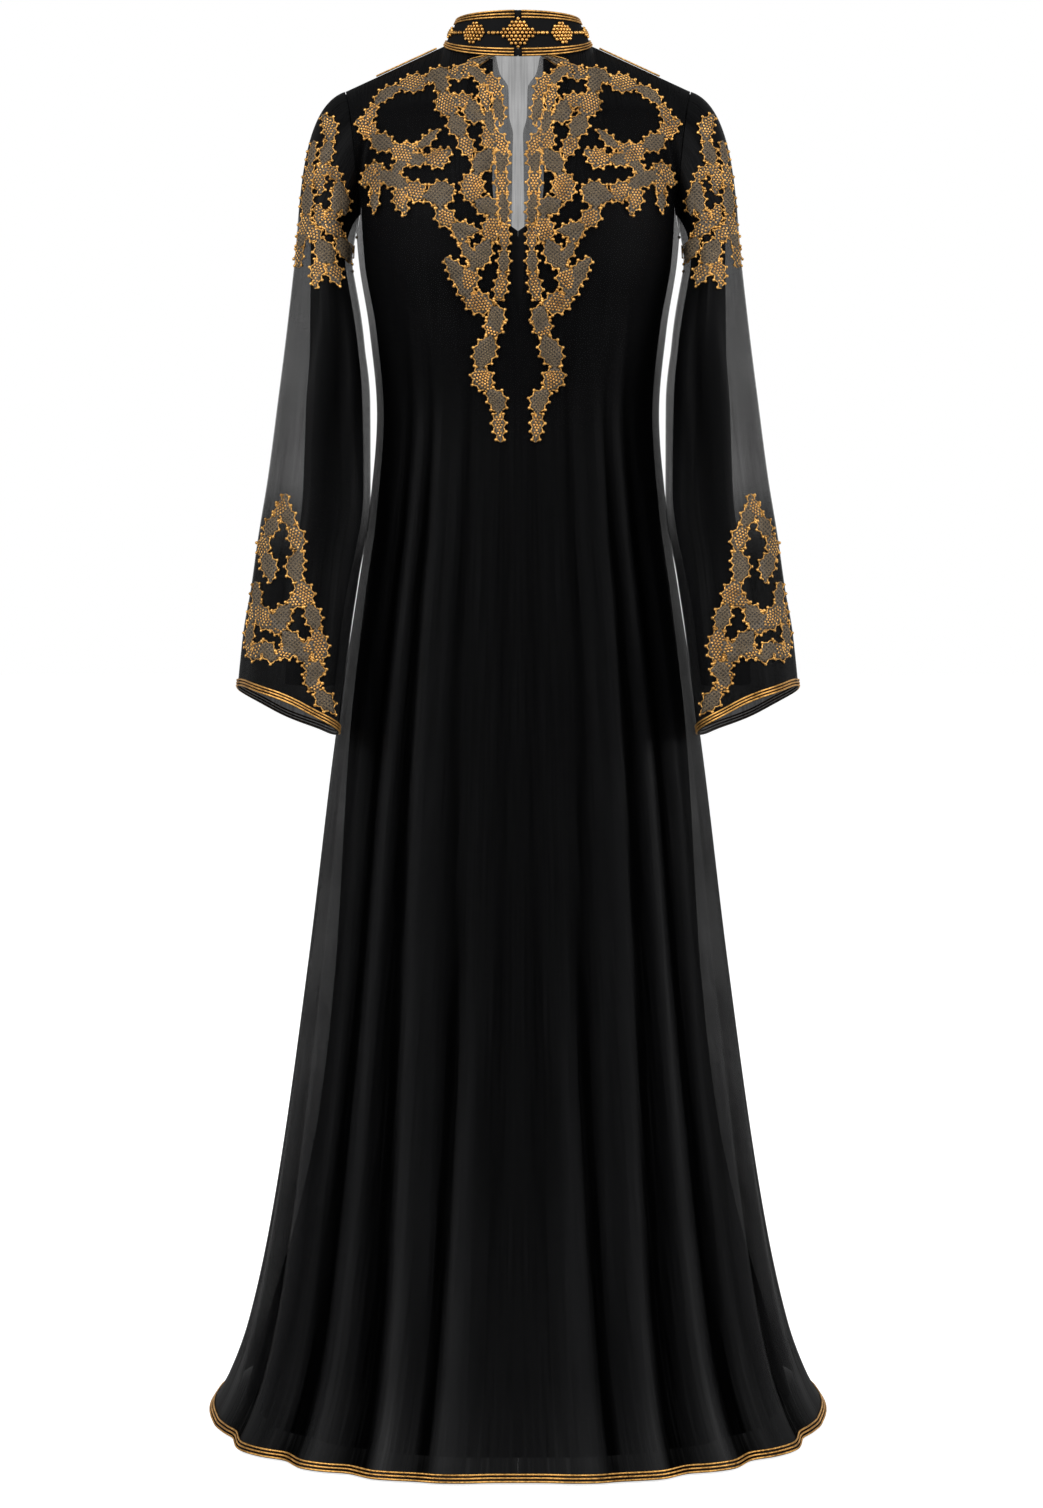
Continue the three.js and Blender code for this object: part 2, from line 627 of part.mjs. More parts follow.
// The place on a surface that lies at a given x and height, found from a first guess.
function locate(surface, x, height, guess) {
  let [a, b] = guess;
  const step = 0.001;
  for (let round = 0; round < 12; round += 1) {
    const here = surface(a, b);
    const byA = surface(a + step, b).sub(here).divideScalar(step);
    const byB = surface(a, b + step).sub(here).divideScalar(step);
    const [dx, dz] = [x - here.x, height - here.z];
    const det = byA.x * byB.z - byB.x * byA.z;
    a += THREE.MathUtils.clamp((dx * byB.z - dz * byB.x) / det, -0.3, 0.3);
    b += THREE.MathUtils.clamp((dz * byA.x - dx * byA.z) / det, -0.3, 0.3);
  }
  return [a, b];
}

const ribbon = { gap: 0.45, thickness: 2, bevel: 1, step: 26, smoothing: 0.3 };

// Ribbons of applique on a surface, each a flat bar with bevelled sides, joined into one solid.
function applique(rows, surface, guess, sense, lift, room) {
  const bars = [];
  for (const row of rows) {
    const curve = new THREE.CatmullRomCurve3(row.map(([x, height, half]) => new THREE.Vector3(x, height, half)));
    const count = Math.max(2, Math.round(curve.getLength() / ribbon.step));
    const sections = [];
    for (let i = 0; i <= count; i += 1) {
      const middle = curve.getPoint(i / count);
      const tangent = curve.getTangent(i / count);
      const side = new THREE.Vector2(-tangent.y, tangent.x).normalize();
      const lifted = (across, height) => {
        const [x, z] = [middle.x + side.x * across, middle.y + side.y * across];
        const [a, b] = locate(surface, x, z, guess(x, z));
        const { point, normal } = outwardAt(surface, a, b, sense);
        return point.addScaledVector(normal, height);
      };
      const edge = middle.z;
      const crown = middle.z - ribbon.bevel;
      sections.push([
        lifted(-edge, lift),
        lifted(edge, lift),
        lifted(crown, lift + ribbon.thickness),
        lifted(-crown, lift + ribbon.thickness),
      ]);
    }
    bars.push(bar(sections, false));
  }
  return fused(bars, room);
}

// A flat trim on a surface, between two levels, along a list of first coordinates.
function trim(surface, places, levels, sense, { lift, thickness }, closed = false) {
  const sections = places.map((place) => {
    const [from, to] = levels(place);
    const low = outwardAt(surface, place, from, sense);
    const high = outwardAt(surface, place, to, sense);
    return [
      low.point.clone().addScaledVector(low.normal, lift),
      high.point.clone().addScaledVector(high.normal, lift),
      high.point.clone().addScaledVector(high.normal, lift + thickness),
      low.point.clone().addScaledVector(low.normal, lift + thickness),
    ];
  });
  return bar(sections, closed);
}

const range = (count, from = 0, to = 1) => Array.from({ length: count + 1 }, (_, i) => mix(from, to, i / count));

const sheerBlack = () => new THREE.MeshStandardMaterial({ color: 0x17181a, roughness: 0.8, metalness: 0 });
const liningBlack = () => new THREE.MeshStandardMaterial({ color: 0x070708, roughness: 0.9, metalness: 0 });
const gold = () => new THREE.MeshStandardMaterial({ color: 0xb98d4e, roughness: 0.4, metalness: 0.8 });

const garment = new THREE.Group();
garment.position.z = -neckHeight;

function addPiece(name, geometry, material) {
  const mesh = new THREE.Mesh(geometry, material);
  mesh.name = name;
  garment.add(mesh);
  return mesh;
}

function addPair(name, geometry, material) {
  addPiece(`${name}_left`, geometry, material());
  addPiece(`${name}_right`, mirrored(geometry), material());
}

const yokeRows = range(6);
const skirtHeights = [1185, 1140, 1090, 1035, 965, 875, 760, 610, 440, 270, 130, 50, 13];
const skirtRows = (hem) => skirtHeights.filter((height) => height > hem + 5)
  .map((height) => 1 + (chestHeight - height) / (chestHeight - hem));
const halfPanelPlaces = [0, 0.09, 0.15, 0.22, 0.29, 0.36, 0.43, 0.5, 0.6, 0.69, 0.79, 0.9, 1];

function addOuterBody() {
  const rows = [...yokeRows, ...skirtRows(hemHeight), 2];
  const front = new Cloth().grid(halfPanelPlaces, rows, (place, level) => outer.panel('front', place, level));
  addPair('front', front.wall(clothThickness), sheerBlack);
  const surface = (place, level) => outer.panel('front', place, level);
  const guess = (x, height) => [
    THREE.MathUtils.clamp(x / 170, 0.03, 0.97),
    height > chestHeight ? (1410 - height) / 180 : 1 + (chestHeight - height) / chestHeight,
  ];
  addPair('front_applique', applique(frontRibbons, surface, guess, 1, 1.2, front.room(ribbon.gap, 8)), gold);
  const back = new Cloth();
  for (const side of [1, -1]) {
    back.grid(halfPanelPlaces, rows, (place, level) => {
      const point = outer.panel('back', place, level);
      point.x *= side;
      return point;
    }, side > 0);
  }
  addPiece('back', back.wall(clothThickness), sheerBlack());
}

function addLiningBody() {
  const places = [0, 0.14, 0.25, 0.36, 0.5, 0.66, 0.83, 1];
  const heights = [1190, 1120, 1040, 930, 780, 600, 400, 220, 90];
  const toHem = (height) => 1 + (liningChestHeight - height) / (liningChestHeight - liningHemHeight);
  const rows = [...yokeRows, ...heights.map(toHem), 2];
  for (const side of ['front', 'back']) {
    const cloth = new Cloth();
    for (const hand of [1, -1]) {
      cloth.grid(places, rows, (place, level) => {
        const point = lining.panel(side, place, level);
        point.x *= hand;
        return point;
      }, (hand > 0) === (side === 'back'));
    }
    addPiece(`lining_${side}`, cloth.wall(clothThickness), liningBlack());
  }
}

function tube(surface, turns, rows) {
  return new Cloth().grid(turns, rows, (turn, level) => surface(turn === 2 * Math.PI ? 0 : turn, level), true);
}

function addSleeves() {
  const turns = range(24, 0, 2 * Math.PI);
  const rows = [...range(5), 1.2, 1.42, 1.6, 1.75, 1.88, 2];
  const sleeve = tube(sleeveSurface, turns, rows);
  addPair('sleeve', sleeve.wall(clothThickness), sheerBlack);
  const sleeveLift = 1.9;
  const room = sleeve.room(ribbon.gap, 14);
  const capGuess = () => [1.1, 0.6];
  addPair('cap_applique', applique(capRibbons, sleeveSurface, capGuess, -1, sleeveLift, room), gold);
  const cuffGuess = () => [1.4, 1.8];
  addPair('cuff_applique', applique(cuffRibbons, sleeveSurface, cuffGuess, -1, sleeveLift, room), gold);
  const liningTurns = range(12, 0, 2 * Math.PI);
  addPair('lining_sleeve', tube(liningSleeveSurface, liningTurns, [...range(3), 1.35, 1.7, 2]).wall(clothThickness), liningBlack);
}

const collarGap = 0.006;
const collarAngles = range(32, collarGap, 2 * Math.PI - collarGap);

function addCollar() {
  const collar = new Cloth().grid(collarAngles, [1, 0], collarSurface);
  addPiece('collar', collar.wall(1.6), sheerBlack());
}

function addCollarTrims() {
  const tabReach = 0.055;
  const angles = [tabReach, ...collarAngles.filter((angle) => angle > tabReach && angle < 3.1), Math.PI - 0.004];
  const size = { lift: 0.4, thickness: 1.8 };
  addPair('collar_top_trim', trim(collarSurface, angles, () => [0.84, 0.995], -1, size), gold);
  addPair('collar_seam_trim', trim(collarSurface, angles, () => [0.01, 0.15], -1, size), gold);
  for (const [name, level] of [['top', 0.92], ['seam', 0.08]]) {
    const tab = new THREE.BoxGeometry(5.6, 2.2, 6.4);
    const place = collarSurface(0, level);
    const mesh = addPiece(`closing_tab_${name}`, tab, liningBlack());
    mesh.position.set(0, place.y - 1.9, place.z);
  }
}

function addMedallions() {
  const points = 6;
  for (const { name, angle, half, tall } of medallions) {
    const sections = range(points, -1, 1).map((t) => {
      const reach = Math.max(1 - Math.abs(t), 0.06);
      const middle = (angle + 0.0001) * degree + (t * half) / 70;
      const bend = 0.5;
      const span = (tall / 48) * reach ** bend;
      const corner = (level, lift) => {
        const { point, normal } = outwardAt(collarSurface, middle, level, -1);
        return point.addScaledVector(normal, lift);
      };
      const centre = 0.5;
      return [
        corner(centre - span, 0.5),
        corner(centre + span, 0.5),
        corner(centre + span * 0.8, 2.2),
        corner(centre - span * 0.8, 2.2),
      ];
    });
    addPiece(`medallion_${name}`, bar(sections, false), gold());
  }
}

function addTrims() {
  const size = { lift: 0.5, thickness: 2 };
  const bandHeight = 9;
  const ringPlaces = [
    ...halfPanelPlaces.slice(1).map((place) => ({ side: 'front', place, hand: 1 })),
    ...halfPanelPlaces.slice(0, -1).reverse().map((place) => ({ side: 'back', place, hand: 1 })),
    ...halfPanelPlaces.slice(1).map((place) => ({ side: 'back', place, hand: -1 })),
    ...halfPanelPlaces.slice(0, -1).reverse().map((place) => ({ side: 'front', place, hand: -1 })),
  ];
  const surface = (index, level) => {
    const low = Math.floor(index + ringPlaces.length) % ringPlaces.length;
    const high = (low + 1) % ringPlaces.length;
    const [from, to] = [low, high].map((i) => {
      const { side, place, hand } = ringPlaces[i];
      const point = outer.panel(side, place, level);
      point.x *= hand;
      return point;
    });
    return from.lerp(to, index - Math.floor(index));
  };
  const bandLevel = 2 - bandHeight / (chestHeight - hemHeight);
  const places = ringPlaces.map((_, i) => i);
  addPiece('hem_trim', trim(surface, places, () => [2, bandLevel], 1, size, true), gold());

  const cuffLevel = 2 - bandHeight / (sleeveHeadHeight - outerSleeve[0].height);
  const turns = range(24, 0, 2 * Math.PI).slice(0, -1);
  addPair('cuff_trim', trim(sleeveSurface, turns, () => [2, cuffLevel], -1, { lift: 0.9, thickness: 2 }, true), gold);

  const seam = (across, place) => {
    const side = across < 0 ? 'front' : 'back';
    return outer.panel(side, place, Math.abs(across));
  };
  const cord = (place) => {
    const [front, back] = [-0.016, 0.016].map((across) => seam(across, place));
    const lift = 2.1;
    const rise = 1.6;
    return [
      front.clone().add(new THREE.Vector3(0.2, 0, lift)),
      back.clone().add(new THREE.Vector3(0.2, 0, lift)),
      back.clone().add(new THREE.Vector3(0.8, -0.6, lift + rise)),
      front.clone().add(new THREE.Vector3(0.8, 0.6, lift + rise)),
    ];
  };
  addPair('shoulder_cord', bar(range(5, 0.41, 0.8).map(cord), false), gold);
}

addOuterBody();
addLiningBody();
addSleeves();
addCollar();
addCollarTrims();
addMedallions();
addTrims();

export default garment;
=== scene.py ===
"""A floor-length abaya in sheer black chiffon over a black lining, with beaded applique and corded trims."""

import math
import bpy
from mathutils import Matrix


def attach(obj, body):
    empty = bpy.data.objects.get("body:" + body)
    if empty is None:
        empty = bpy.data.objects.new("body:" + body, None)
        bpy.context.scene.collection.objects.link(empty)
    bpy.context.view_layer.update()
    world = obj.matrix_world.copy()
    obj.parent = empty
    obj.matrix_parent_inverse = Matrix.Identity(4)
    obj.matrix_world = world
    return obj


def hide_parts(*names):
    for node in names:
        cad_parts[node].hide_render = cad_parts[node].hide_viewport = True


bl_info = {
    "name": "Beaded Abaya",
    "version": (1, 0, 0),
    "blender": (4, 5, 0),
    "location": "View3D > Sidebar > Abaya",
    "description": "Builds a chiffon abaya with lining, beaded applique and gold cords on its fixed frame",
    "category": "Object",
}

import bpy
import numpy as np
from bpy.props import FloatProperty, FloatVectorProperty, IntProperty, PointerProperty

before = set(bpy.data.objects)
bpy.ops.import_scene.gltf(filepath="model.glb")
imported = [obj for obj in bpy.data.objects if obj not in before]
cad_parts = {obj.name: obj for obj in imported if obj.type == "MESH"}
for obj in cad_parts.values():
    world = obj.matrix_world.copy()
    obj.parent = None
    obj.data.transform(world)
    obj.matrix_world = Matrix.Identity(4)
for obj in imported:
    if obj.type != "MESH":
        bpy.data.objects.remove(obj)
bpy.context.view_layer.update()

MM = 0.001
NECK_HEIGHT = 1428.0
CHEST_HEIGHT = 1232.0
HEM_HEIGHT = 2.5
LINING_CHEST_HEIGHT = 1250.0
LINING_HEM_HEIGHT = 20.0
LINING_DROP = 2.2
NECK_HALF_WIDTH = 77.0
NECK_PLACE = 0.36
SHOULDER_TIP = (181.0, 1379.0)
NECK_HEIGHTS = {"front": 1406.0, "side": 1427.0, "back": 1438.0}
NECK_DEPTHS = {"front": 66.0, "back": 72.0}
COLLAR_TOP = {"half": 64.0, "front": 62.0, "back": 67.0, "front_height": 1455.0, "side_height": 1453.0,
              "back_height": 1466.0}
SLEEVE_HEAD_HEIGHT = 1190.0
ARMHOLE_GAP = 0.8
SEAM_GAP = 0.12


# Tables of sizes in millimetres, heights above the floor

def table(columns, *rows):
    """Rows of numbers as a table with named columns."""
    names = columns.split()
    return {name: np.array([row[i] for row in rows], float) for i, name in enumerate(names)}


OUTER_SECTIONS = table(
    "height half front back fullness",
    (0, 323, 302, 300, 0.02), (30, 305, 284, 284, 0.02), (89, 283, 256, 258, 0.02),
    (215, 256, 212, 220, 0.03),
    (467, 220, 156, 174, 0.04), (698, 192, 126, 144, 0.05), (845, 170, 114, 126, 0.05),
    (940, 156, 107, 106, 0.05),
    (1040, 148, 101, 84, 0.05), (1130, 156, 112, 92, 0.05), (1200, 167, 121, 102, 0.05),
    (1260, 172, 121, 105, 0.05),
)
LINING_SECTIONS = table(
    "height half front back fullness",
    (0, 290, 284, 280, 0.02), (89, 264, 245, 246, 0.02), (215, 228, 203, 208, 0.03),
    (320, 207, 174, 184, 0.03),
    (467, 191, 148, 164, 0.04), (698, 177, 118, 134, 0.04), (845, 161, 107, 117, 0.04),
    (940, 148, 100, 98, 0.04),
    (1040, 141, 95, 77, 0.04), (1130, 149, 106, 85, 0.04), (1200, 161, 115, 96, 0.04),
    (1260, 165, 114, 97, 0.04),
)
# Flutes of a half skirt: angle from the centre line at the hip and at the hem, depth at the hem,
# the height where the flute starts and the widths of its two flanks.
FLUTE_COLUMNS = "hip hem depth start inner outer"
FLUTES = {
    "front": table(
        FLUTE_COLUMNS,
        (12, 13, 7, 560, 6, 4), (31, 24, 11, 1150, 8, 4), (41, 38, 13, 1210, 9, 4), (60, 54, 13, 1000, 9, 5),
    ),
    "back": table(
        FLUTE_COLUMNS,
        (11, 12, 9, 1000, 7, 5), (30, 28, 12, 1120, 8, 5), (46, 43, 12, 1000, 8, 5), (64, 60, 11, 900, 8, 6),
    ),
}
# Soft creases between the flutes: angle at the hip and at the hem, depth, lower and upper end, width.
CREASE_COLUMNS = "hip hem depth low high width"
CREASES = {
    "front": table(
        CREASE_COLUMNS,
        (5, 4, -1.1, 300, 1120, 2.2), (19, 17, -1.6, 60, 1190, 2.4), (24, 20, 1.3, 250, 1180, 1.6),
        (36, 31, -2.2, 20, 1150, 2.2), (46, 44, -2.4, 0, 1130, 2.4), (52, 48, 1.6, 120, 1060, 1.8),
        (66, 63, -2.2, 0, 960, 2.6), (75, 72, 2.0, 80, 900, 3.0), (82, 81, -1.4, 150, 820, 2.4),
        (29, 8, 1.0, 0, 420, 2.4), (9, 19, 1.6, 0, 360, 2.6),
    ),
    "back": table(
        CREASE_COLUMNS,
        (4, 4, -1.4, 100, 1160, 2.6), (19, 19, -2.2, 0, 1140, 2.8), (24, 24, 1.4, 200, 1040, 1.8),
        (38, 36, -2.4, 0, 1100, 2.6), (53, 51, -2.0, 60, 1000, 2.4), (72, 70, -2.0, 0, 900, 3.0),
        (82, 80, 1.6, 100, 800, 2.6),
    ),
}
YOKE_COLUMNS = "place tx ty tz bx by bz"
YOKES = {
    "front": table(
        YOKE_COLUMNS,
        (0, 0, -85, -150, 0, 0, -174), (0.36, 25, -135, -85, 0, 0, -165), (0.75, 5, -130, -70, 0, 0, -160),
        (1, -25, -190, -70, 25, 150, -70),
    ),
    "back": table(
        YOKE_COLUMNS,
        (0, 0, 80, -180, 0, -15, -190), (0.36, 25, 150, -85, 0, -8, -175), (0.75, 5, 140, -70, 0, 0, -165),
        (1, -25, 185, -70, 25, -150, -70),
    ),
}
FRONT_SLIT = table(
    "height half",
    (1140, 0.01), (1165, 5), (1225, 6.5), (1300, 5.5), (1322, 5), (1340, 9), (1372, 10), (1388, 19),
    (1410, 23),
)
LINING_FRONT_SLIT = table("height half", (1222, 0), (1228, 14), (1242, 22), (1270, 26), (1410, 26))
LINING_BACK_SCOOP = table("height half", (1238, 0), (1246, 18), (1264, 30), (1300, 34), (1440, 34))
SLEEVE_COLUMNS = "height outer inner depth forward skew lean"
OUTER_SLEEVE = table(
    SLEEVE_COLUMNS,
    (733, 289, 184, 88, 64, 26, 12), (793, 283, 177, 82, 60, 26, 11), (837, 276, 171, 78, 55, 26, 9),
    (887, 270, 163, 76, 48, 24, 6), (958, 260, 151, 76, 38, 24, 3), (1055, 249, 152, 76, 26, 26, 0),
    (1111, 243, 157, 75, 17, 26, 0), (1190, 235, 172, 72, 4, 12, 0),
)
LINING_SLEEVE = table(
    SLEEVE_COLUMNS,
    (760, 240, 188, 46, 66, 14, 4), (837, 236, 179, 50, 60, 14, 4), (958, 223, 159, 56, 44, 18, 2),
    (1055, 220, 161, 60, 30, 18, 0), (1111, 217, 166, 62, 20, 18, 0), (1190, 217, 180, 62, 5, 8, 0),
)
CUFF = {
    "tilt": 24.0, "lift": 8.0, "flutes": 4, "crest": math.radians(50), "flute_depth": 8.0,
    "flute_start": 930.0,
}

# Applique strokes: points (x, height, half width) along the middle line, then one letter for the
# filling of each stretch: g for rows of gold beads, m for dark net.
FRONT_STROKES = [
    ("mgmg", (50, 1400, 6), (60, 1390, 9), (79, 1391, 9), (102, 1384, 11), (121, 1380, 8), (143, 1368, 6),
     (158, 1342, 5)),
    ("gmg", (165, 1342, 5), (157, 1336, 9), (143, 1321, 10), (127, 1312, 9), (113, 1300, 9)),
    ("m", (119, 1309, 7), (102, 1311, 6), (84, 1326, 4)),
    ("g", (112, 1299, 7), (96, 1297, 8), (81, 1298, 11), (70, 1304, 4)),
    ("gmgm", (157, 1280, 7), (146, 1291, 9), (135, 1282, 9), (121, 1275, 8), (107, 1267, 9), (95, 1258, 11),
     (74, 1263, 12)),
    ("m", (115, 1300, 7), (124, 1288, 5), (128, 1278, 5)),
    ("g", (145, 1282, 7), (147, 1264, 6), (147, 1249, 3)),
    ("mg", (76, 1262, 12), (78, 1244, 9), (70, 1232, 9), (57, 1223, 9), (44, 1222, 5)),
    ("g", (59, 1224, 8), (54, 1207, 6), (46, 1192, 4)),
    ("gmg", (80, 1388, 6), (74, 1360, 11), (64, 1337, 10), (56, 1318, 9), (49, 1301, 5)),
    ("m", (70, 1358, 6), (48, 1357, 9), (45, 1343, 9), (34, 1338, 4)),
    ("gm", (51, 1394, 5), (40, 1386, 6), (35, 1366, 5), (30, 1343, 5), (27, 1326, 6), (19, 1315, 6),
     (15, 1302, 6)),
    ("g", (36, 1383, 6), (27, 1378, 6), (22, 1364, 7), (20, 1347, 6), (17, 1334, 3)),
    ("mgm", (16, 1304, 7), (17, 1284, 7), (16, 1262, 6), (14, 1240, 5), (14, 1222, 5), (14, 1203, 5),
     (15, 1180, 6),
     (19, 1156, 6)),
    ("mgmgmg", (30, 1324, 7), (28, 1306, 10), (39, 1287, 11), (46, 1268, 12), (42, 1252, 11), (28, 1244, 10),
     (26, 1226, 10), (33, 1205, 10), (46, 1184, 11), (51, 1168, 9)),
    ("gm", (54, 1172, 8), (51, 1155, 10), (36, 1148, 11), (24, 1142, 10), (22, 1128, 8)),
    ("ggm", (22, 1134, 8), (29, 1110, 11), (36, 1093, 11), (37, 1076, 11), (29, 1060, 8), (21, 1050, 9),
     (20, 1032, 7), (18, 1010, 3)),
    ("m", (71, 1192, 5), (63, 1182, 8), (57, 1167, 7)),
    ("g", (119, 1269, 8), (119, 1254, 7), (115, 1243, 4)),
]
CAP_STROKES = [
    ("mg", (202, 1350, 4), (196, 1340, 7), (195, 1325, 7), (199, 1307, 7), (205, 1284, 6), (204, 1268, 4)),
    ("gm", (212, 1322, 3), (215, 1300, 5), (217, 1276, 6), (218, 1250, 7), (220, 1226, 6)),
    ("gm", (203, 1293, 6), (192, 1289, 5), (185, 1277, 7), (186, 1261, 7), (190, 1245, 9), (200, 1238, 9),
     (206, 1250, 5)),
    ("m", (187, 1271, 6), (181, 1260, 6), (180, 1248, 4)),
    ("mg", (218, 1231, 6), (208, 1221, 8), (199, 1205, 10), (192, 1189, 9), (186, 1174, 5)),
    ("g", (199, 1199, 5), (205, 1184, 7), (207, 1168, 3)),
    ("g", (199, 1239, 8), (188, 1226, 8), (182, 1214, 8), (178, 1201, 5)),
    ("m", (220, 1229, 6), (225, 1210, 6), (226, 1192, 3)),
]
CUFF_STROKES = [
    ("gm", (236, 952, 4), (239, 940, 7), (249, 925, 8), (258, 908, 8), (260, 890, 5)),
    ("gmgmg", (239, 942, 7), (230, 926, 8), (223, 908, 8), (221, 894, 8), (225, 880, 9),
     (219, 862, 9), (212, 846, 9),
     (206, 830, 8), (202, 812, 8), (199, 794, 8), (203, 778, 8), (208, 766, 6)),
    ("m", (259, 896, 5), (252, 880, 9), (250, 868, 4)),
    ("mgm", (267, 862, 4), (264, 842, 8), (254, 826, 10), (243, 824, 11), (233, 838, 9),
     (221, 848, 7), (213, 850, 6)),
    ("gm", (244, 826, 10), (231, 810, 10), (221, 798, 10), (211, 799, 8), (204, 802, 7)),
    ("gmg", (274, 800, 5), (267, 794, 8), (256, 802, 8), (246, 790, 7), (237, 794, 7), (225, 798, 7)),
    ("g", (265, 844, 7), (271, 824, 6), (274, 804, 5)),
    ("m", (219, 800, 8), (210, 782, 7), (200, 778, 7)),
    ("gm", (211, 773, 5), (202, 758, 8), (194, 746, 8), (188, 737, 4)),
]
# Medallions round the collar: angle from the front centre, half length and half height.
MEDALLIONS = table(
    "angle half tall",
    (0, 18, 17), (40, 16, 14), (-40, 16, 14), (80, 14, 9), (-80, 14, 9), (130, 15, 10),
    (-130, 15, 10), (180, 15, 10),
)
MEDALLION_NODES = [
    "front", "front_left", "front_right", "side_left", "side_right", "back_left", "back_right", "back",
]


# Curves and surfaces, as in the frame

def hermite(start, end, leave, arrive, t):
    t2 = t * t
    t3 = t2 * t
    held = start * (2 * t3 - 3 * t2 + 1) + end * (3 * t2 - 2 * t3)
    return held + leave * (t3 - 2 * t2 + t) + arrive * (t3 - t2)


def smooth_column(rows, entry, result):
    """A smooth curve through one column of a table, with no overshoot between rows."""
    xs = rows[entry]
    ys = rows[result]
    slopes = np.diff(ys) / np.diff(xs)
    product = slopes[:-1] * slopes[1:]
    total = slopes[:-1] + slopes[1:]
    middle = np.where(product <= 0, 0, 2 * product / np.where(total == 0, 1, total))
    tangents = np.concatenate([slopes[:1], middle, slopes[-1:]])

    def at(x):
        x = np.asarray(x, float)
        i = np.clip(np.searchsorted(xs, x, side="left") - 1, 0, len(xs) - 2)
        span = xs[i + 1] - xs[i]
        t = np.clip((x - xs[i]) / span, 0, 1)
        return hermite(ys[i], ys[i + 1], tangents[i] * span, tangents[i + 1] * span, t)

    return at


def smooth_columns(rows, entry):
    columns = {name: smooth_column(rows, entry, name) for name in rows if name != entry}
    return lambda x: {name: column(x) for name, column in columns.items()}


def smooth_step(t):
    t = np.clip(t, 0, 1)
    return t * t * (3 - 2 * t)


def mix(a, b, t):
    return a + (b - a) * t


def joined(*parts):
    return np.stack(np.broadcast_arrays(*parts), axis=-1)


def unit(vectors):
    return vectors / np.maximum(np.linalg.norm(vectors, axis=-1, keepdims=True), 1e-9)


def flute_depth(side, angle, height):
    """How far the flutes stand out from the plain skirt."""
    hip_height = 850
    degrees = np.degrees(angle)
    along = np.clip(height / hip_height, 0, 1)
    depth = np.zeros(np.broadcast(angle, height).shape)
    rows = FLUTES[side]
    for i in range(len(rows["hip"])):
        start = rows["start"][i]
        away = degrees - mix(rows["hem"][i], rows["hip"][i], along)
        reach = np.where(away > 0, rows["outer"][i], rows["inner"][i])
        growth = np.clip((start - height) / start, 0, 1) ** 0.8
        depth = depth + rows["depth"][i] * growth * np.exp(-((away / reach) ** 2))
    return depth


def crease_depth(side, angle, height):
    hip_height = 850
    degrees = np.degrees(angle)
    along = np.clip(height / hip_height, 0, 1)
    depth = np.zeros(np.broadcast(angle, height).shape)
    rows = CREASES[side]
    for i in range(len(rows["hip"])):
        wander = 0.8 * np.sin(height / 137 + 1.7 * i)
        away = degrees - mix(rows["hem"][i], rows["hip"][i], along) - wander
        low = rows["low"][i]
        high = rows["high"][i]
        fade = smooth_step((height - low + 160) / 160) * smooth_step((high - height) / 300)
        depth = depth + rows["depth"][i] * fade * np.exp(-((away / rows["width"][i]) ** 2))
    return depth


def painted_fold_shade(side, angle, height):
    """Painted shade and highlight of the folds for the cloth's colour: a painted highlight on each ridge and
    painted shade along its outer flank.
    """
    hip_height = 850
    degrees = np.degrees(angle)
    along = np.clip(height / hip_height, 0, 1)
    # Painted shade in the crease troughs and painted light on the crease crests.
    tone = crease_depth(side, angle, height) * 0.16
    rows = FLUTES[side]
    for i in range(len(rows["hip"])):
        away = degrees - mix(rows["hem"][i], rows["hip"][i], along)
        growth = np.clip((rows["start"][i] - height) / rows["start"][i] * 2.2, 0, 1)
        # Painted highlight on the ridge, painted shade along its outer flank.
        tone = tone + 0.5 * growth * np.exp(-(((away + 0.4) / 2.0) ** 2))
        tone = tone - 0.7 * growth * np.exp(-(((away - rows["outer"][i] * 0.9) / 1.4) ** 2))
    return tone


DEPTH_PLACES = np.linspace(0, 1, 201)


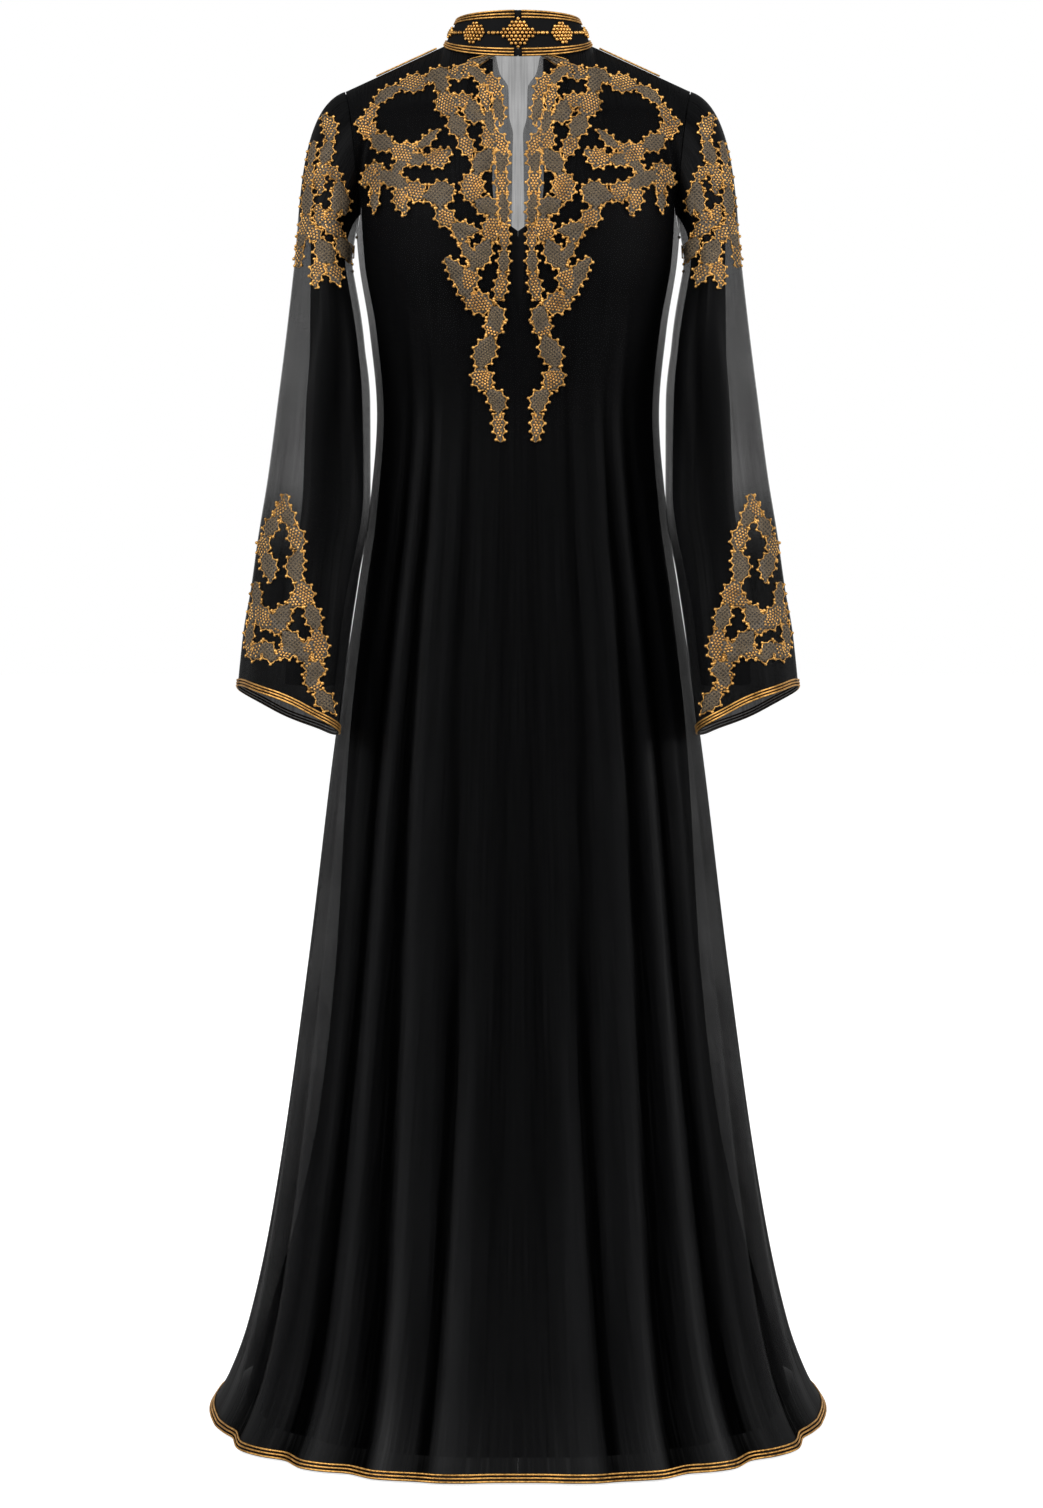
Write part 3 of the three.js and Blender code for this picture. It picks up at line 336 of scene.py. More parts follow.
class Layer:
    """One layer of the body: a smooth surface for the front and one for the back of a half."""

    def __init__(self, sections, chest, hem, drop, follows, openings, flute_share, crease_share):
        self.section_at = smooth_columns(sections, "height")
        self.yoke_at = {side: smooth_columns(YOKES[side], "place") for side in YOKES}
        self.chest = chest
        self.hem = hem
        self.drop = drop
        self.follows = follows
        self.openings = {side: smooth_column(rows, "height", "half") for side, rows in openings.items()}
        self.flute_share = flute_share
        self.crease_share = crease_share
        self.deepest = {}
        if follows is not None:
            self.deepest = {side: level_at(follows, side, DEPTH_PLACES, chest) for side in YOKES}

    def ring(self, side, angle, height):
        section = self.section_at(height)
        sign = -1 if side == "front" else 1
        depth = section[side]
        full = 1 + section["fullness"] * np.sin(2 * angle) ** 2
        x = section["half"] * np.sin(angle) * full
        y = depth * np.cos(angle) * full
        nx = x / section["half"] ** 2
        ny = y / depth ** 2
        size = np.hypot(nx, ny)
        out = self.flute_share * flute_depth(side, angle, height)
        out = out + self.crease_share * crease_depth(side, angle, height)
        return joined(x + nx / size * out, sign * (y + ny / size * out), height)

    def top_edge(self, side, place):
        sign = -1 if side == "front" else 1
        along = (place - NECK_PLACE) / (1 - NECK_PLACE)
        shoulder_x = mix(NECK_HALF_WIDTH, SHOULDER_TIP[0] - self.drop, along)
        shoulder_z = mix(NECK_HEIGHTS["side"], SHOULDER_TIP[1], along) - self.drop
        turn = place / NECK_PLACE * math.pi / 2
        depth = NECK_DEPTHS[side] - self.drop
        neck_z = mix(NECK_HEIGHTS[side], NECK_HEIGHTS["side"], 1 - np.cos(turn)) - self.drop
        on_shoulder = place >= NECK_PLACE
        x = np.where(on_shoulder, shoulder_x, NECK_HALF_WIDTH * np.sin(turn))
        y = np.where(on_shoulder, 0, sign * depth * np.cos(turn))
        return joined(x, y, np.where(on_shoulder, shoulder_z, neck_z))

    def yoke(self, side, place, level):
        top = self.top_edge(side, place)
        bottom = self.ring(side, place * math.pi / 2, np.full(np.shape(place), self.chest))
        if self.follows is not None:
            deepest = np.interp(place, DEPTH_PLACES, self.deepest[side])
            start = beneath(self.follows, side, place, deepest * 0)
            end = beneath(self.follows, side, place, deepest)
            here = beneath(self.follows, side, place, deepest * level)
            upper = (1 - smooth_step(level * 3))[..., None]
            lower = smooth_step(level * 1.5 - 0.5)[..., None]
            return here + (top - start) * upper + (bottom - end) * lower
        pull = self.yoke_at[side](place)
        leave = joined(pull["tx"], pull["ty"], pull["tz"])
        arrive = joined(pull["bx"], pull["by"], pull["bz"])
        return hermite(top, bottom, leave, arrive, level[..., None])

    def surface(self, side, place, level):
        """place 0 is the centre line and 1 the side; level 0 to 1 is the yoke, 1 to 2 runs to the hem."""
        place, level = np.broadcast_arrays(np.asarray(place, float), np.asarray(level, float))
        skirt = self.ring(side, place * math.pi / 2, mix(self.chest, self.hem, np.clip(level - 1, 0, 1.1)))
        yoke = self.yoke(side, place, np.clip(level, -0.05, 1))
        return np.where((level >= 1)[..., None], skirt, yoke)

    def opening_place(self, side, level):
        """The place where the cloth starts beside its opening."""
        level = np.asarray(level, float)
        if side not in self.openings:
            return np.zeros(level.shape)
        opening = self.openings[side]
        levels, order = np.unique(level, return_inverse=True)
        low = np.zeros(levels.shape)
        high = np.full(levels.shape, NECK_PLACE)
        for _ in range(18):
            middle = (low + high) / 2
            point = self.surface(side, middle, levels)
            inside = point[..., 0] < opening(point[..., 2])
            low = np.where(inside, middle, low)
            high = np.where(inside, high, middle)
        centre = self.surface(side, np.zeros(levels.shape), levels)
        start = np.where(opening(centre[..., 2]) > 0, high, 0)
        return start[order.reshape(level.shape)]

    def panel(self, side, place, level):
        """The cut panel: it starts at its opening's edge and stops just short of the seams."""
        place, level = np.broadcast_arrays(np.asarray(place, float), np.asarray(level, float))
        moved = place
        if np.any(place < NECK_PLACE):
            start = self.opening_place(side, level)
            moved = np.where(place < NECK_PLACE, mix(start, NECK_PLACE, place / NECK_PLACE), place)
        point = self.surface(side, moved, level)
        sign = -1 if side == "front" else 1
        y = np.where(sign * point[..., 1] < SEAM_GAP, sign * SEAM_GAP, point[..., 1])
        return joined(point[..., 0], y, point[..., 2])


def level_at(layer, side, place, height):
    """The level at which a layer's yoke comes down to a height."""
    low = np.zeros(np.shape(place))
    high = np.ones(np.shape(place))
    for _ in range(22):
        middle = (low + high) / 2
        above = layer.surface(side, place, middle)[..., 2] > height
        low = np.where(above, middle, low)
        high = np.where(above, high, middle)
    return low


def beneath(layer, side, place, level):
    """A point of a layer moved in under it."""
    step = 0.004
    before = np.maximum(place - step, 0)
    after = np.minimum(place + step, 1)
    across = layer.surface(side, after, level) - layer.surface(side, before, level)
    down = layer.surface(side, place, level + step) - layer.surface(side, place, level)
    sense = 1 if side == "front" else -1
    return layer.surface(side, place, level) - LINING_DROP * sense * unit(np.cross(down, across))


OUTER = Layer(OUTER_SECTIONS, CHEST_HEIGHT, HEM_HEIGHT, 0, None, {"front": FRONT_SLIT}, 1, 1)
LINING = Layer(
    LINING_SECTIONS, LINING_CHEST_HEIGHT, LINING_HEM_HEIGHT, LINING_DROP, OUTER,
    {"front": LINING_FRONT_SLIT, "back": LINING_BACK_SCOOP}, 0.6, 0.3,
)


class Sleeve:
    """A sleeve from its layer's armhole to the cuff; turn 0 is the outer line and 90 degrees the front."""

    def __init__(self, rows, layer, flare, underarm_reach, creases):
        self.at = smooth_columns(rows, "height")
        self.end = rows["height"][0]
        self.layer = layer
        self.flare = flare
        self.underarm_reach = underarm_reach
        self.creases = creases

    def lower(self, turn, along):
        height = mix(SLEEVE_HEAD_HEIGHT, self.end, along)
        section = self.at(height)
        rise = np.clip((CUFF["flute_start"] - height) / (CUFF["flute_start"] - self.end), 0, 1)
        wave = np.cos(CUFF["flutes"] * (turn - CUFF["crest"]))
        flute = self.flare * rise ** 1.3 * CUFF["flute_depth"] * wave
        half = (section["outer"] - section["inner"]) / 2
        sideways = flute * np.abs(np.sin(turn))
        middle = (section["outer"] + section["inner"]) / 2
        inward = (1 - np.cos(turn)) / 2
        soft = self.creases * sleeve_creases(turn, height)
        x = middle + (half + sideways * 0.4 + soft) * np.cos(turn) - section["lean"] * np.sin(turn)
        y = -section["forward"] - section["skew"] * inward - (section["depth"] + flute + soft) * np.sin(turn)
        tilt = self.flare * (CUFF["tilt"] * np.cos(turn) + CUFF["lift"] * np.sin(turn)) * smooth_step(along)
        return joined(x, y, height + tilt)

    def surface(self, turn, level):
        turn, level = np.broadcast_arrays(np.asarray(turn, float), np.asarray(level, float))
        turn = np.mod(turn, 2 * math.pi)
        if np.all(level >= 1):
            return self.lower(turn, np.clip(level - 1, 0, 1.05))
        around = turn / math.pi
        zero = np.zeros(turn.shape)
        front = self.layer.panel("front", zero + 1, np.clip(around, 0, 1))
        back = self.layer.panel("back", zero + 1, np.clip(2 - around, 0, 1))
        start = np.where((around <= 1)[..., None], front, back)
        end = self.lower(turn, zero)
        length = np.linalg.norm(end - start, axis=-1)[..., None]
        top = (1 + np.cos(turn)) / 2
        leave = joined(
            mix(self.underarm_reach, 0.95, top ** 2), -0.15 * np.sin(turn), mix(-1.0, -0.32, top ** 2)
        )
        leave = unit(leave) * length * 0.8
        start = start + np.array([ARMHOLE_GAP, 0, 0])
        arrive = unit(self.lower(turn, zero + 0.01) - end) * length * 0.9
        head = hermite(start, end, leave, arrive, np.clip(level, 0, 1)[..., None])
        return np.where((level >= 1)[..., None], self.lower(turn, np.clip(level - 1, 0, 1.05)), head)


# Soft creases of a sleeve: turn, depth, middle height, length, width and how far it slants.
SLEEVE_CREASES = table(
    "turn depth middle length width slant",
    (40, -2.2, 1060, 170, 10, 12), (75, 2.4, 1010, 200, 12, -10), (110, -2.6, 1080, 150, 12, 14),
    (150, -3.0, 1090, 110, 14, 20), (140, 2.4, 960, 160, 14, -12), (20, 2.0, 930, 170, 10, 8),
    (60, -2.0, 880, 130, 9, -8), (200, -3.0, 1070, 150, 15, 16), (240, 2.6, 1000, 180, 14, -10),
    (285, -2.4, 1040, 200, 13, 10), (325, 2.2, 960, 190, 12, -8), (95, 1.8, 1160, 90, 10, 18),
    (255, -2.2, 900, 150, 12, 8), (170, -2.4, 1150, 70, 13, -16),
)


def sleeve_creases(turn, height):
    degrees = np.degrees(turn)
    depth = np.zeros(np.broadcast(turn, height).shape)
    rows = SLEEVE_CREASES
    for i in range(len(rows["turn"])):
        above = (height - rows["middle"][i]) / rows["length"][i]
        away = degrees - rows["turn"][i] - rows["slant"][i] * above
        away = np.mod(away + 180, 360) - 180
        depth = depth + rows["depth"][i] * np.exp(-((away / rows["width"][i]) ** 2) - above ** 2)
    return depth


SLEEVE = Sleeve(OUTER_SLEEVE, OUTER, 1, 0.2, 1)
LINING_SLEEVE_FORM = Sleeve(LINING_SLEEVE, LINING, 0, 1.3, 0.3)


def collar_surface(angle, level):
    """angle 0 is the front centre; level 0 is the seam and 1 the top edge."""
    angle, level = np.broadcast_arrays(np.asarray(angle, float), np.asarray(level, float))
    back = np.cos(angle) < 0
    ahead = np.cos(angle)
    base_middle = np.where(back, NECK_HEIGHTS["back"], NECK_HEIGHTS["front"])
    top_middle = np.where(back, COLLAR_TOP["back_height"], COLLAR_TOP["front_height"])
    base_depth = np.where(back, NECK_DEPTHS["back"], NECK_DEPTHS["front"])
    top_depth = np.where(back, COLLAR_TOP["back"], COLLAR_TOP["front"])
    rise = 1 - np.abs(ahead)
    seam_lift = 0.9
    base = joined(
        NECK_HALF_WIDTH * np.sin(angle), -base_depth * ahead,
        mix(base_middle, NECK_HEIGHTS["side"], rise) + seam_lift
    )
    top = joined(
        COLLAR_TOP["half"] * np.sin(angle), -top_depth * ahead,
        mix(top_middle, COLLAR_TOP["side_height"], rise)
    )
    return mix(base, top, level[..., None])


def outward(surface, a, b, sense):
    """Points of a surface and its outward direction there."""
    step = 0.002
    along = surface(a + step, b) - surface(a - step, b)
    down = surface(a, b + step) - surface(a, b - step)
    return surface(a, b), sense * unit(np.cross(down, along))


def locate(surface, x, height, first):
    """The places on a surface that lie at each x and height."""
    a = np.array(first[0], float)
    b = np.array(first[1], float)
    step = 0.001
    for _ in range(14):
        here = surface(a, b)
        by_a = (surface(a + step, b) - here) / step
        by_b = (surface(a, b + step) - here) / step
        dx = x - here[..., 0]
        dz = height - here[..., 2]
        det = by_a[..., 0] * by_b[..., 2] - by_b[..., 0] * by_a[..., 2]
        det = np.where(np.abs(det) < 1e-6, 1e-6, det)
        a = a + np.clip((dx * by_b[..., 2] - dz * by_b[..., 0]) / det, -0.3, 0.3)
        b = b + np.clip((dz * by_a[..., 0] - dx * by_a[..., 2]) / det, -0.3, 0.3)
    return a, b


# Object helpers

def in_metres(points):
    """Millimetres above the floor to metres from the neck."""
    return (np.asarray(points, float) - np.array([0, 0, NECK_HEIGHT])) * MM


def add_grid(name, columns, rows, place):
    """A grid primitive whose points are put on a surface; place takes u and v from 0 to 1."""
    bpy.ops.object.select_all(action="DESELECT")
    bpy.ops.mesh.primitive_grid_add(x_subdivisions=columns, y_subdivisions=rows, size=2, calc_uvs=True)
    obj = bpy.context.object
    obj.name = name
    obj.data.name = name
    mesh = obj.data
    flat = np.empty(len(mesh.vertices) * 3)
    mesh.vertices.foreach_get("co", flat)
    flat = flat.reshape(-1, 3)
    points = place((flat[:, 0] + 1) / 2, (flat[:, 1] + 1) / 2)
    mesh.vertices.foreach_set("co", in_metres(points).ravel())
    mesh.update()
    return obj


def scale_uv(obj, width, length):
    """Stretches the piece's own UV map to metres of cloth."""
    layer = obj.data.uv_layers.active
    flat = np.empty(len(layer.data) * 2)
    layer.data.foreach_get("uv", flat)
    flat = flat.reshape(-1, 2) * np.array([width, length])
    layer.data.foreach_set("uv", flat.ravel())


def edit_mesh(obj, *steps):
    """Runs edit-mode operators on the whole mesh."""
    bpy.ops.object.select_all(action="DESELECT")
    obj.select_set(True)
    bpy.context.view_layer.objects.active = obj
    bpy.ops.object.mode_set(mode="EDIT")
    bpy.ops.mesh.select_all(action="SELECT")
    for step in steps:
        step()
    bpy.ops.object.mode_set(mode="OBJECT")


def merge_seam():
    bpy.ops.mesh.remove_doubles(threshold=0.00002)


def flip_faces():
    bpy.ops.mesh.flip_normals()


def apply_modifier(obj, kind, **settings):
    bpy.ops.object.select_all(action="DESELECT")
    obj.select_set(True)
    bpy.context.view_layer.objects.active = obj
    modifier = obj.modifiers.new(kind.title(), kind)
    for name, value in settings.items():
        setattr(modifier, name, value)
    bpy.ops.object.modifier_apply(modifier=modifier.name)


def shell(obj, thickness):
    """Gives a cloth piece its wall and smooth shading."""
    apply_modifier(obj, "SOLIDIFY", thickness=thickness, offset=-1, use_even_offset=False)
    bpy.ops.object.shade_smooth_by_angle(angle=math.radians(50))


def mirror_copy(obj, name):
    """A mirrored copy on the other side, with its own mesh."""
    bpy.ops.object.select_all(action="DESELECT")
    obj.select_set(True)
    bpy.context.view_layer.objects.active = obj
    bpy.ops.object.duplicate()
    twin = bpy.context.object
    twin.name = name
    twin.data.name = name
    mesh = twin.data
    flat = np.empty(len(mesh.vertices) * 3)
    mesh.vertices.foreach_get("co", flat)
    flat = flat.reshape(-1, 3) * np.array([-1, 1, 1])
    mesh.vertices.foreach_set("co", flat.ravel())
    mesh.flip_normals()
    mesh.update()
    return twin


def join_pieces(name, pieces):
    bpy.ops.object.select_all(action="DESELECT")
    for piece in pieces:
        piece.select_set(True)
    bpy.context.view_layer.objects.active = pieces[0]
    if len(pieces) > 1:
        bpy.ops.object.join()
    result = bpy.context.object
    result.name = name
    result.data.name = name
    return result


def settle(obj, slot, *nodes):
    """Rides a finished piece on the robe and hides the solids it stands for; slot is not used."""
    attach(obj, "root")
    if nodes:
        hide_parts(*nodes)
    return obj


def cord_mesh(name, runs, radius, sides_level=1):
    """Round cords along runs of points, as one mesh; a run is (points, closed)."""
    bpy.ops.object.select_all(action="DESELECT")
    bpy.ops.curve.primitive_bezier_curve_add()
    obj = bpy.context.object
    obj.name = name
    curve = obj.data
    curve.splines.clear()
    curve.dimensions = "3D"
    curve.bevel_depth = radius
    curve.bevel_resolution = sides_level
    curve.use_fill_caps = True
    for points, closed in runs:
        spline = curve.splines.new("POLY")
        spline.points.add(len(points) - 1)
        four = np.concatenate([in_metres(points), np.ones((len(points), 1))], axis=1)
        spline.points.foreach_set("co", four.ravel())
        spline.use_cyclic_u = closed
    bpy.ops.object.convert(target="MESH")
    obj = bpy.context.object
    bpy.ops.object.shade_smooth()
    return obj


def bead_form():
    """One small round bead as points and faces, from a primitive."""
    bpy.ops.object.select_all(action="DESELECT")
    bpy.ops.mesh.primitive_ico_sphere_add(subdivisions=1, radius=1)
    obj = bpy.context.object
    points = np.array([vertex.co[:] for vertex in obj.data.vertices])
    faces = np.array([polygon.vertices[:] for polygon in obj.data.polygons])
    bpy.data.objects.remove(obj, do_unlink=True)
    return points, faces


def bead_mesh(name, points, normals, alongs, sizes):
    """Beads joined in one mesh; sizes gives each bead's half length, half width and half height."""
    form, faces = bead_form()
    along = unit(alongs - normals * np.sum(alongs * normals, axis=1, keepdims=True))
    across = np.cross(normals, along)
    axes = np.stack([along, across, normals], axis=1)
    corners = np.einsum("nvk,nkj->nvj", form[None, :, :] * sizes[:, None, :], axes) + points[:, None, :]
    count = len(points)
    all_faces = (faces[None, :, :] + (np.arange(count) * len(form))[:, None, None]).reshape(-1, 3)
    bpy.ops.object.select_all(action="DESELECT")
    bpy.ops.mesh.primitive_plane_add(size=MM)
    obj = bpy.context.object
    obj.name = name
    old = obj.data
    mesh = bpy.data.meshes.new(name)
    mesh.vertices.add(count * len(form))
    mesh.vertices.foreach_set("co", in_metres(corners.reshape(-1, 3)).ravel())
    mesh.loops.add(len(all_faces) * 3)
    mesh.loops.foreach_set("vertex_index", all_faces.ravel().astype(np.int32))
    mesh.polygons.add(len(all_faces))
    mesh.polygons.foreach_set("loop_start", np.arange(0, len(all_faces) * 3, 3, dtype=np.int32))
    mesh.update(calc_edges=True)
    mesh.validate()
    obj.data = mesh
    bpy.data.meshes.remove(old)
    bpy.ops.object.select_all(action="DESELECT")
    obj.select_set(True)
    bpy.context.view_layer.objects.active = obj
    bpy.ops.object.shade_smooth()
    return obj


# Materials

class Nodes:
    """Short names for adding and linking shader nodes."""

    def __init__(self, tree):
        self.tree = tree

    def add(self, kind, **settings):
        node = self.tree.nodes.new(kind)
        for name, value in settings.items():
            setattr(node, name, value)
        return node

    def link(self, start, end):
        self.tree.links.new(start, end)

    def math(self, operation, first, second, clamp=False):
        node = self.add("ShaderNodeMath", operation=operation, use_clamp=clamp)
        for socket, value in zip(node.inputs, (first, second)):
            self.feed(socket, value)
        return node.outputs[0]

    def feed(self, socket, value):
        if isinstance(value, bpy.types.NodeSocket):
            self.link(value, socket)
        else:
            socket.default_value = value

    def between(self, low, high, share):
        node = self.add("ShaderNodeMix", data_type="FLOAT")
        self.feed(node.inputs[0], share)
        self.feed(node.inputs[2], low)
        self.feed(node.inputs[3], high)
        return node.outputs[0]

    def colour_between(self, low, high, share):
        node = self.add("ShaderNodeMix", data_type="RGBA")
        self.feed(node.inputs[0], share)
        self.feed(node.inputs[6], low)
        self.feed(node.inputs[7], high)
        return node.outputs[2]


def cloth_group():
    """Weave, streaks and slubs of a thin cloth, from the piece's own UV map in metres."""
    name = "Cloth weave"
    if name in bpy.data.node_groups:
        return bpy.data.node_groups[name]
    tree = bpy.data.node_groups.new(name, "ShaderNodeTree")
    tree.interface.new_socket(name="UV", in_out="INPUT", socket_type="NodeSocketVector")
    for label, value in [("Threads per metre", 900.0), ("Streak width", 90.0)]:
        socket = tree.interface.new_socket(name=label, in_out="INPUT", socket_type="NodeSocketFloat")
        socket.default_value = value
    for label in ["Weave", "Streaks", "Mottle"]:
        tree.interface.new_socket(name=label, in_out="OUTPUT", socket_type="NodeSocketFloat")
    nodes = Nodes(tree)
    entry = nodes.add("NodeGroupInput")
    result = nodes.add("NodeGroupOutput")
    scaled = nodes.add("ShaderNodeVectorMath", operation="SCALE")
    nodes.link(entry.outputs["UV"], scaled.inputs[0])
    nodes.link(entry.outputs["Threads per metre"], scaled.inputs["Scale"])
    split = nodes.add("ShaderNodeSeparateXYZ")
    nodes.link(scaled.outputs[0], split.inputs[0])
    warp = nodes.math("SINE", split.outputs[0], 0)
    weft = nodes.math("SINE", split.outputs[1], 0)
    crossing = nodes.math("MULTIPLY", warp, weft)
    nodes.link(nodes.math("MULTIPLY_ADD", crossing, 0.5), result.inputs["Weave"])
    stretched = nodes.add("ShaderNodeMapping")
    stretched.inputs["Scale"].default_value = (1.0, 0.03, 1.0)
    nodes.link(entry.outputs["UV"], stretched.inputs["Vector"])
    streaks = nodes.add("ShaderNodeTexNoise")
    streaks.inputs["Detail"].default_value = 4
    nodes.link(stretched.outputs[0], streaks.inputs["Vector"])
    nodes.link(entry.outputs["Streak width"], streaks.inputs["Scale"])
    nodes.link(streaks.outputs["Fac"], result.inputs["Streaks"])
    mottle = nodes.add("ShaderNodeTexNoise")
    mottle.inputs["Scale"].default_value = 14
    mottle.inputs["Detail"].default_value = 3
    nodes.link(entry.outputs["UV"], mottle.inputs["Vector"])
    nodes.link(mottle.outputs["Fac"], result.inputs["Mottle"])
    return tree


def new_material(name):
    material = bpy.data.materials.new(name)
    material.use_nodes = True
    nodes = Nodes(material.node_tree)
    shader = next(node for node in material.node_tree.nodes if node.type == "BSDF_PRINCIPLED")
    return material, nodes, shader


def bump_into(nodes, shader, height, strength, distance):
    bump = nodes.add("ShaderNodeBump")
    bump.inputs["Strength"].default_value = strength
    bump.inputs["Distance"].default_value = distance
    nodes.link(height, bump.inputs["Height"])
    nodes.link(bump.outputs[0], shader.inputs["Normal"])


def chiffon_material(name, colour, cover, bands):
    """Sheer crepe chiffon: see-through, with fine lengthwise streaks and painted fold shade and highlight in
    its colour; bands gives cover by height.
    """
    if name in bpy.data.materials:
        return bpy.data.materials[name]
    material, nodes, shader = new_material(name)
    uv = nodes.add("ShaderNodeUVMap")
    group = nodes.add("ShaderNodeGroup", node_tree=cloth_group())
    nodes.link(uv.outputs[0], group.inputs["UV"])
    group.inputs["Threads per metre"].default_value = 5200
    group.inputs["Streak width"].default_value = 260
    place = nodes.add("ShaderNodeTexCoord")
    split = nodes.add("ShaderNodeSeparateXYZ")
    nodes.link(place.outputs["Object"], split.inputs[0])
    share = cover
    aside = nodes.math("ABSOLUTE", split.outputs[0], 0)
    for low, high, more, beyond in bands:
        edge = nodes.add("ShaderNodeMapRange", interpolation_type="SMOOTHSTEP")
        edge.inputs["From Min"].default_value = low
        edge.inputs["From Max"].default_value = high
        nodes.link(split.outputs[2], edge.inputs["Value"])
        wide = nodes.math("GREATER_THAN", aside, beyond)
        share = nodes.between(share, more, nodes.math("MULTIPLY", edge.outputs[0], wide))
    streak = nodes.math("MULTIPLY", nodes.math("SUBTRACT", group.outputs["Streaks"], 0.5), 0.3)
    mottle = nodes.math("MULTIPLY", nodes.math("SUBTRACT", group.outputs["Mottle"], 0.5), 0.16)
    share = nodes.math("ADD", nodes.math("ADD", streak, mottle), share, clamp=True)
    nodes.link(share, shader.inputs["Alpha"])
    # Painted fold shade from the points' attribute: darker colour, rougher and with less sheen and specular
    # in troughs, lighter and glossier on ridges.
    fold = nodes.add("ShaderNodeAttribute", attribute_name="fold")
    dark = tuple(channel * 0.1 for channel in colour)
    light = tuple(min(channel * 0.9, 1) for channel in colour)
    # The tone mixes the cloth's real streaks with the painted fold shade.
    tone = nodes.math("MULTIPLY_ADD", nodes.math("SUBTRACT", group.outputs["Streaks"], 0.5), 0.5)
    nodes.link(fold.outputs["Fac"], tone.node.inputs[2])
    shade = nodes.colour_between((*dark, 1), (*light, 1), tone)
    nodes.link(shade, shader.inputs["Base Color"])
    nodes.link(nodes.between(0.6, 0.44, tone), shader.inputs["Roughness"])
    nodes.link(nodes.between(0.0, 0.012, tone), shader.inputs["Sheen Weight"])
    nodes.link(nodes.between(0.0, 0.075, tone), shader.inputs["Specular IOR Level"])
    shader.inputs["Sheen Roughness"].default_value = 0.35
    bump_into(nodes, shader, group.outputs["Streaks"], 0.25, 0.0006)
    return material


def lining_material(name, colour):
    """Opaque dull black lining with a fine plain weave."""
    if name in bpy.data.materials:
        return bpy.data.materials[name]
    material, nodes, shader = new_material(name)
    uv = nodes.add("ShaderNodeUVMap")
    group = nodes.add("ShaderNodeGroup", node_tree=cloth_group())
    nodes.link(uv.outputs[0], group.inputs["UV"])
    group.inputs["Threads per metre"].default_value = 4200
    group.inputs["Streak width"].default_value = 60
    light = tuple(min(channel * 1.8, 1) for channel in colour)
    mottled = nodes.colour_between((*colour, 1), (*light, 1), group.outputs["Mottle"])
    nodes.link(mottled, shader.inputs["Base Color"])
    nodes.link(nodes.between(0.7, 0.9, group.outputs["Streaks"]), shader.inputs["Roughness"])
    shader.inputs["Specular IOR Level"].default_value = 0.05
    bump_into(nodes, shader, group.outputs["Weave"], 0.2, 0.0003)
    return material


def tarnish_group():
    """Uneven tone of metal thread and beads over the object."""
    name = "Tarnish"
    if name in bpy.data.node_groups:
        return bpy.data.node_groups[name]
    tree = bpy.data.node_groups.new(name, "ShaderNodeTree")
    socket = tree.interface.new_socket(name="Grain size", in_out="INPUT", socket_type="NodeSocketFloat")
    socket.default_value = 300.0
    tree.interface.new_socket(name="Tone", in_out="OUTPUT", socket_type="NodeSocketFloat")
    tree.interface.new_socket(name="Grain", in_out="OUTPUT", socket_type="NodeSocketFloat")
    nodes = Nodes(tree)
    entry = nodes.add("NodeGroupInput")
    result = nodes.add("NodeGroupOutput")
    place = nodes.add("ShaderNodeTexCoord")
    broad = nodes.add("ShaderNodeTexNoise")
    broad.inputs["Scale"].default_value = 45
    broad.inputs["Detail"].default_value = 3
    fine = nodes.add("ShaderNodeTexNoise")
    fine.inputs["Detail"].default_value = 2
    nodes.link(entry.outputs["Grain size"], fine.inputs["Scale"])
    for texture in (broad, fine):
        nodes.link(place.outputs["Object"], texture.inputs["Vector"])
    both = nodes.math("ADD", broad.outputs["Fac"], fine.outputs["Fac"])
    nodes.link(nodes.math("MULTIPLY", both, 0.5), result.inputs["Tone"])
    nodes.link(fine.outputs["Fac"], result.inputs["Grain"])
    return tree


def gold_material(name, dark, bright, roughness):
    if name in bpy.data.materials:
        return bpy.data.materials[name]
    material, nodes, shader = new_material(name)
    group = nodes.add("ShaderNodeGroup", node_tree=tarnish_group())
    group.inputs["Grain size"].default_value = 420
    centred = nodes.math("SUBTRACT", group.outputs["Tone"], 0.5)
    contrast = nodes.math("MULTIPLY_ADD", centred, 3.2, clamp=True)
    contrast.node.inputs[2].default_value = 0.5
    nodes.link(nodes.colour_between((*dark, 1), (*bright, 1), contrast), shader.inputs["Base Color"])
    grainy = nodes.between(roughness, roughness + 0.16, group.outputs["Grain"])
    nodes.link(grainy, shader.inputs["Roughness"])
    shader.inputs["Metallic"].default_value = 0.85
    bump_into(nodes, shader, group.outputs["Grain"], 0.15, 0.0004)
    return material


def net_material(name, thread, ground):
    """Dark net with fine crossed metal threads."""
    if name in bpy.data.materials:
        return bpy.data.materials[name]
    material, nodes, shader = new_material(name)
    place = nodes.add("ShaderNodeTexCoord")
    turned = nodes.add("ShaderNodeMapping")
    turned.inputs["Rotation"].default_value = (0, math.radians(45), 0)
    turned.inputs["Scale"].default_value = (1900, 1900, 1900)
    nodes.link(place.outputs["Object"], turned.inputs["Vector"])
    split = nodes.add("ShaderNodeSeparateXYZ")
    nodes.link(turned.outputs[0], split.inputs[0])
    one = nodes.math("SINE", split.outputs[0], 0)
    other = nodes.math("SINE", split.outputs[2], 0)
    threads = nodes.math("MAXIMUM", one, other)
    mask = nodes.math("MULTIPLY_ADD", threads, 0.6, clamp=True)
    mask.node.inputs[2].default_value = 0.1
    nodes.link(nodes.colour_between((*ground, 1), (*thread, 1), mask), shader.inputs["Base Color"])
    nodes.link(nodes.between(0.75, 0.5, mask), shader.inputs["Roughness"])
    shader.inputs["Specular IOR Level"].default_value = 0.3
    bump_into(nodes, shader, mask, 0.4, 0.0004)
    return material


def give(obj, material):
    obj.data.materials.clear()
    obj.data.materials.append(material)


# Settings

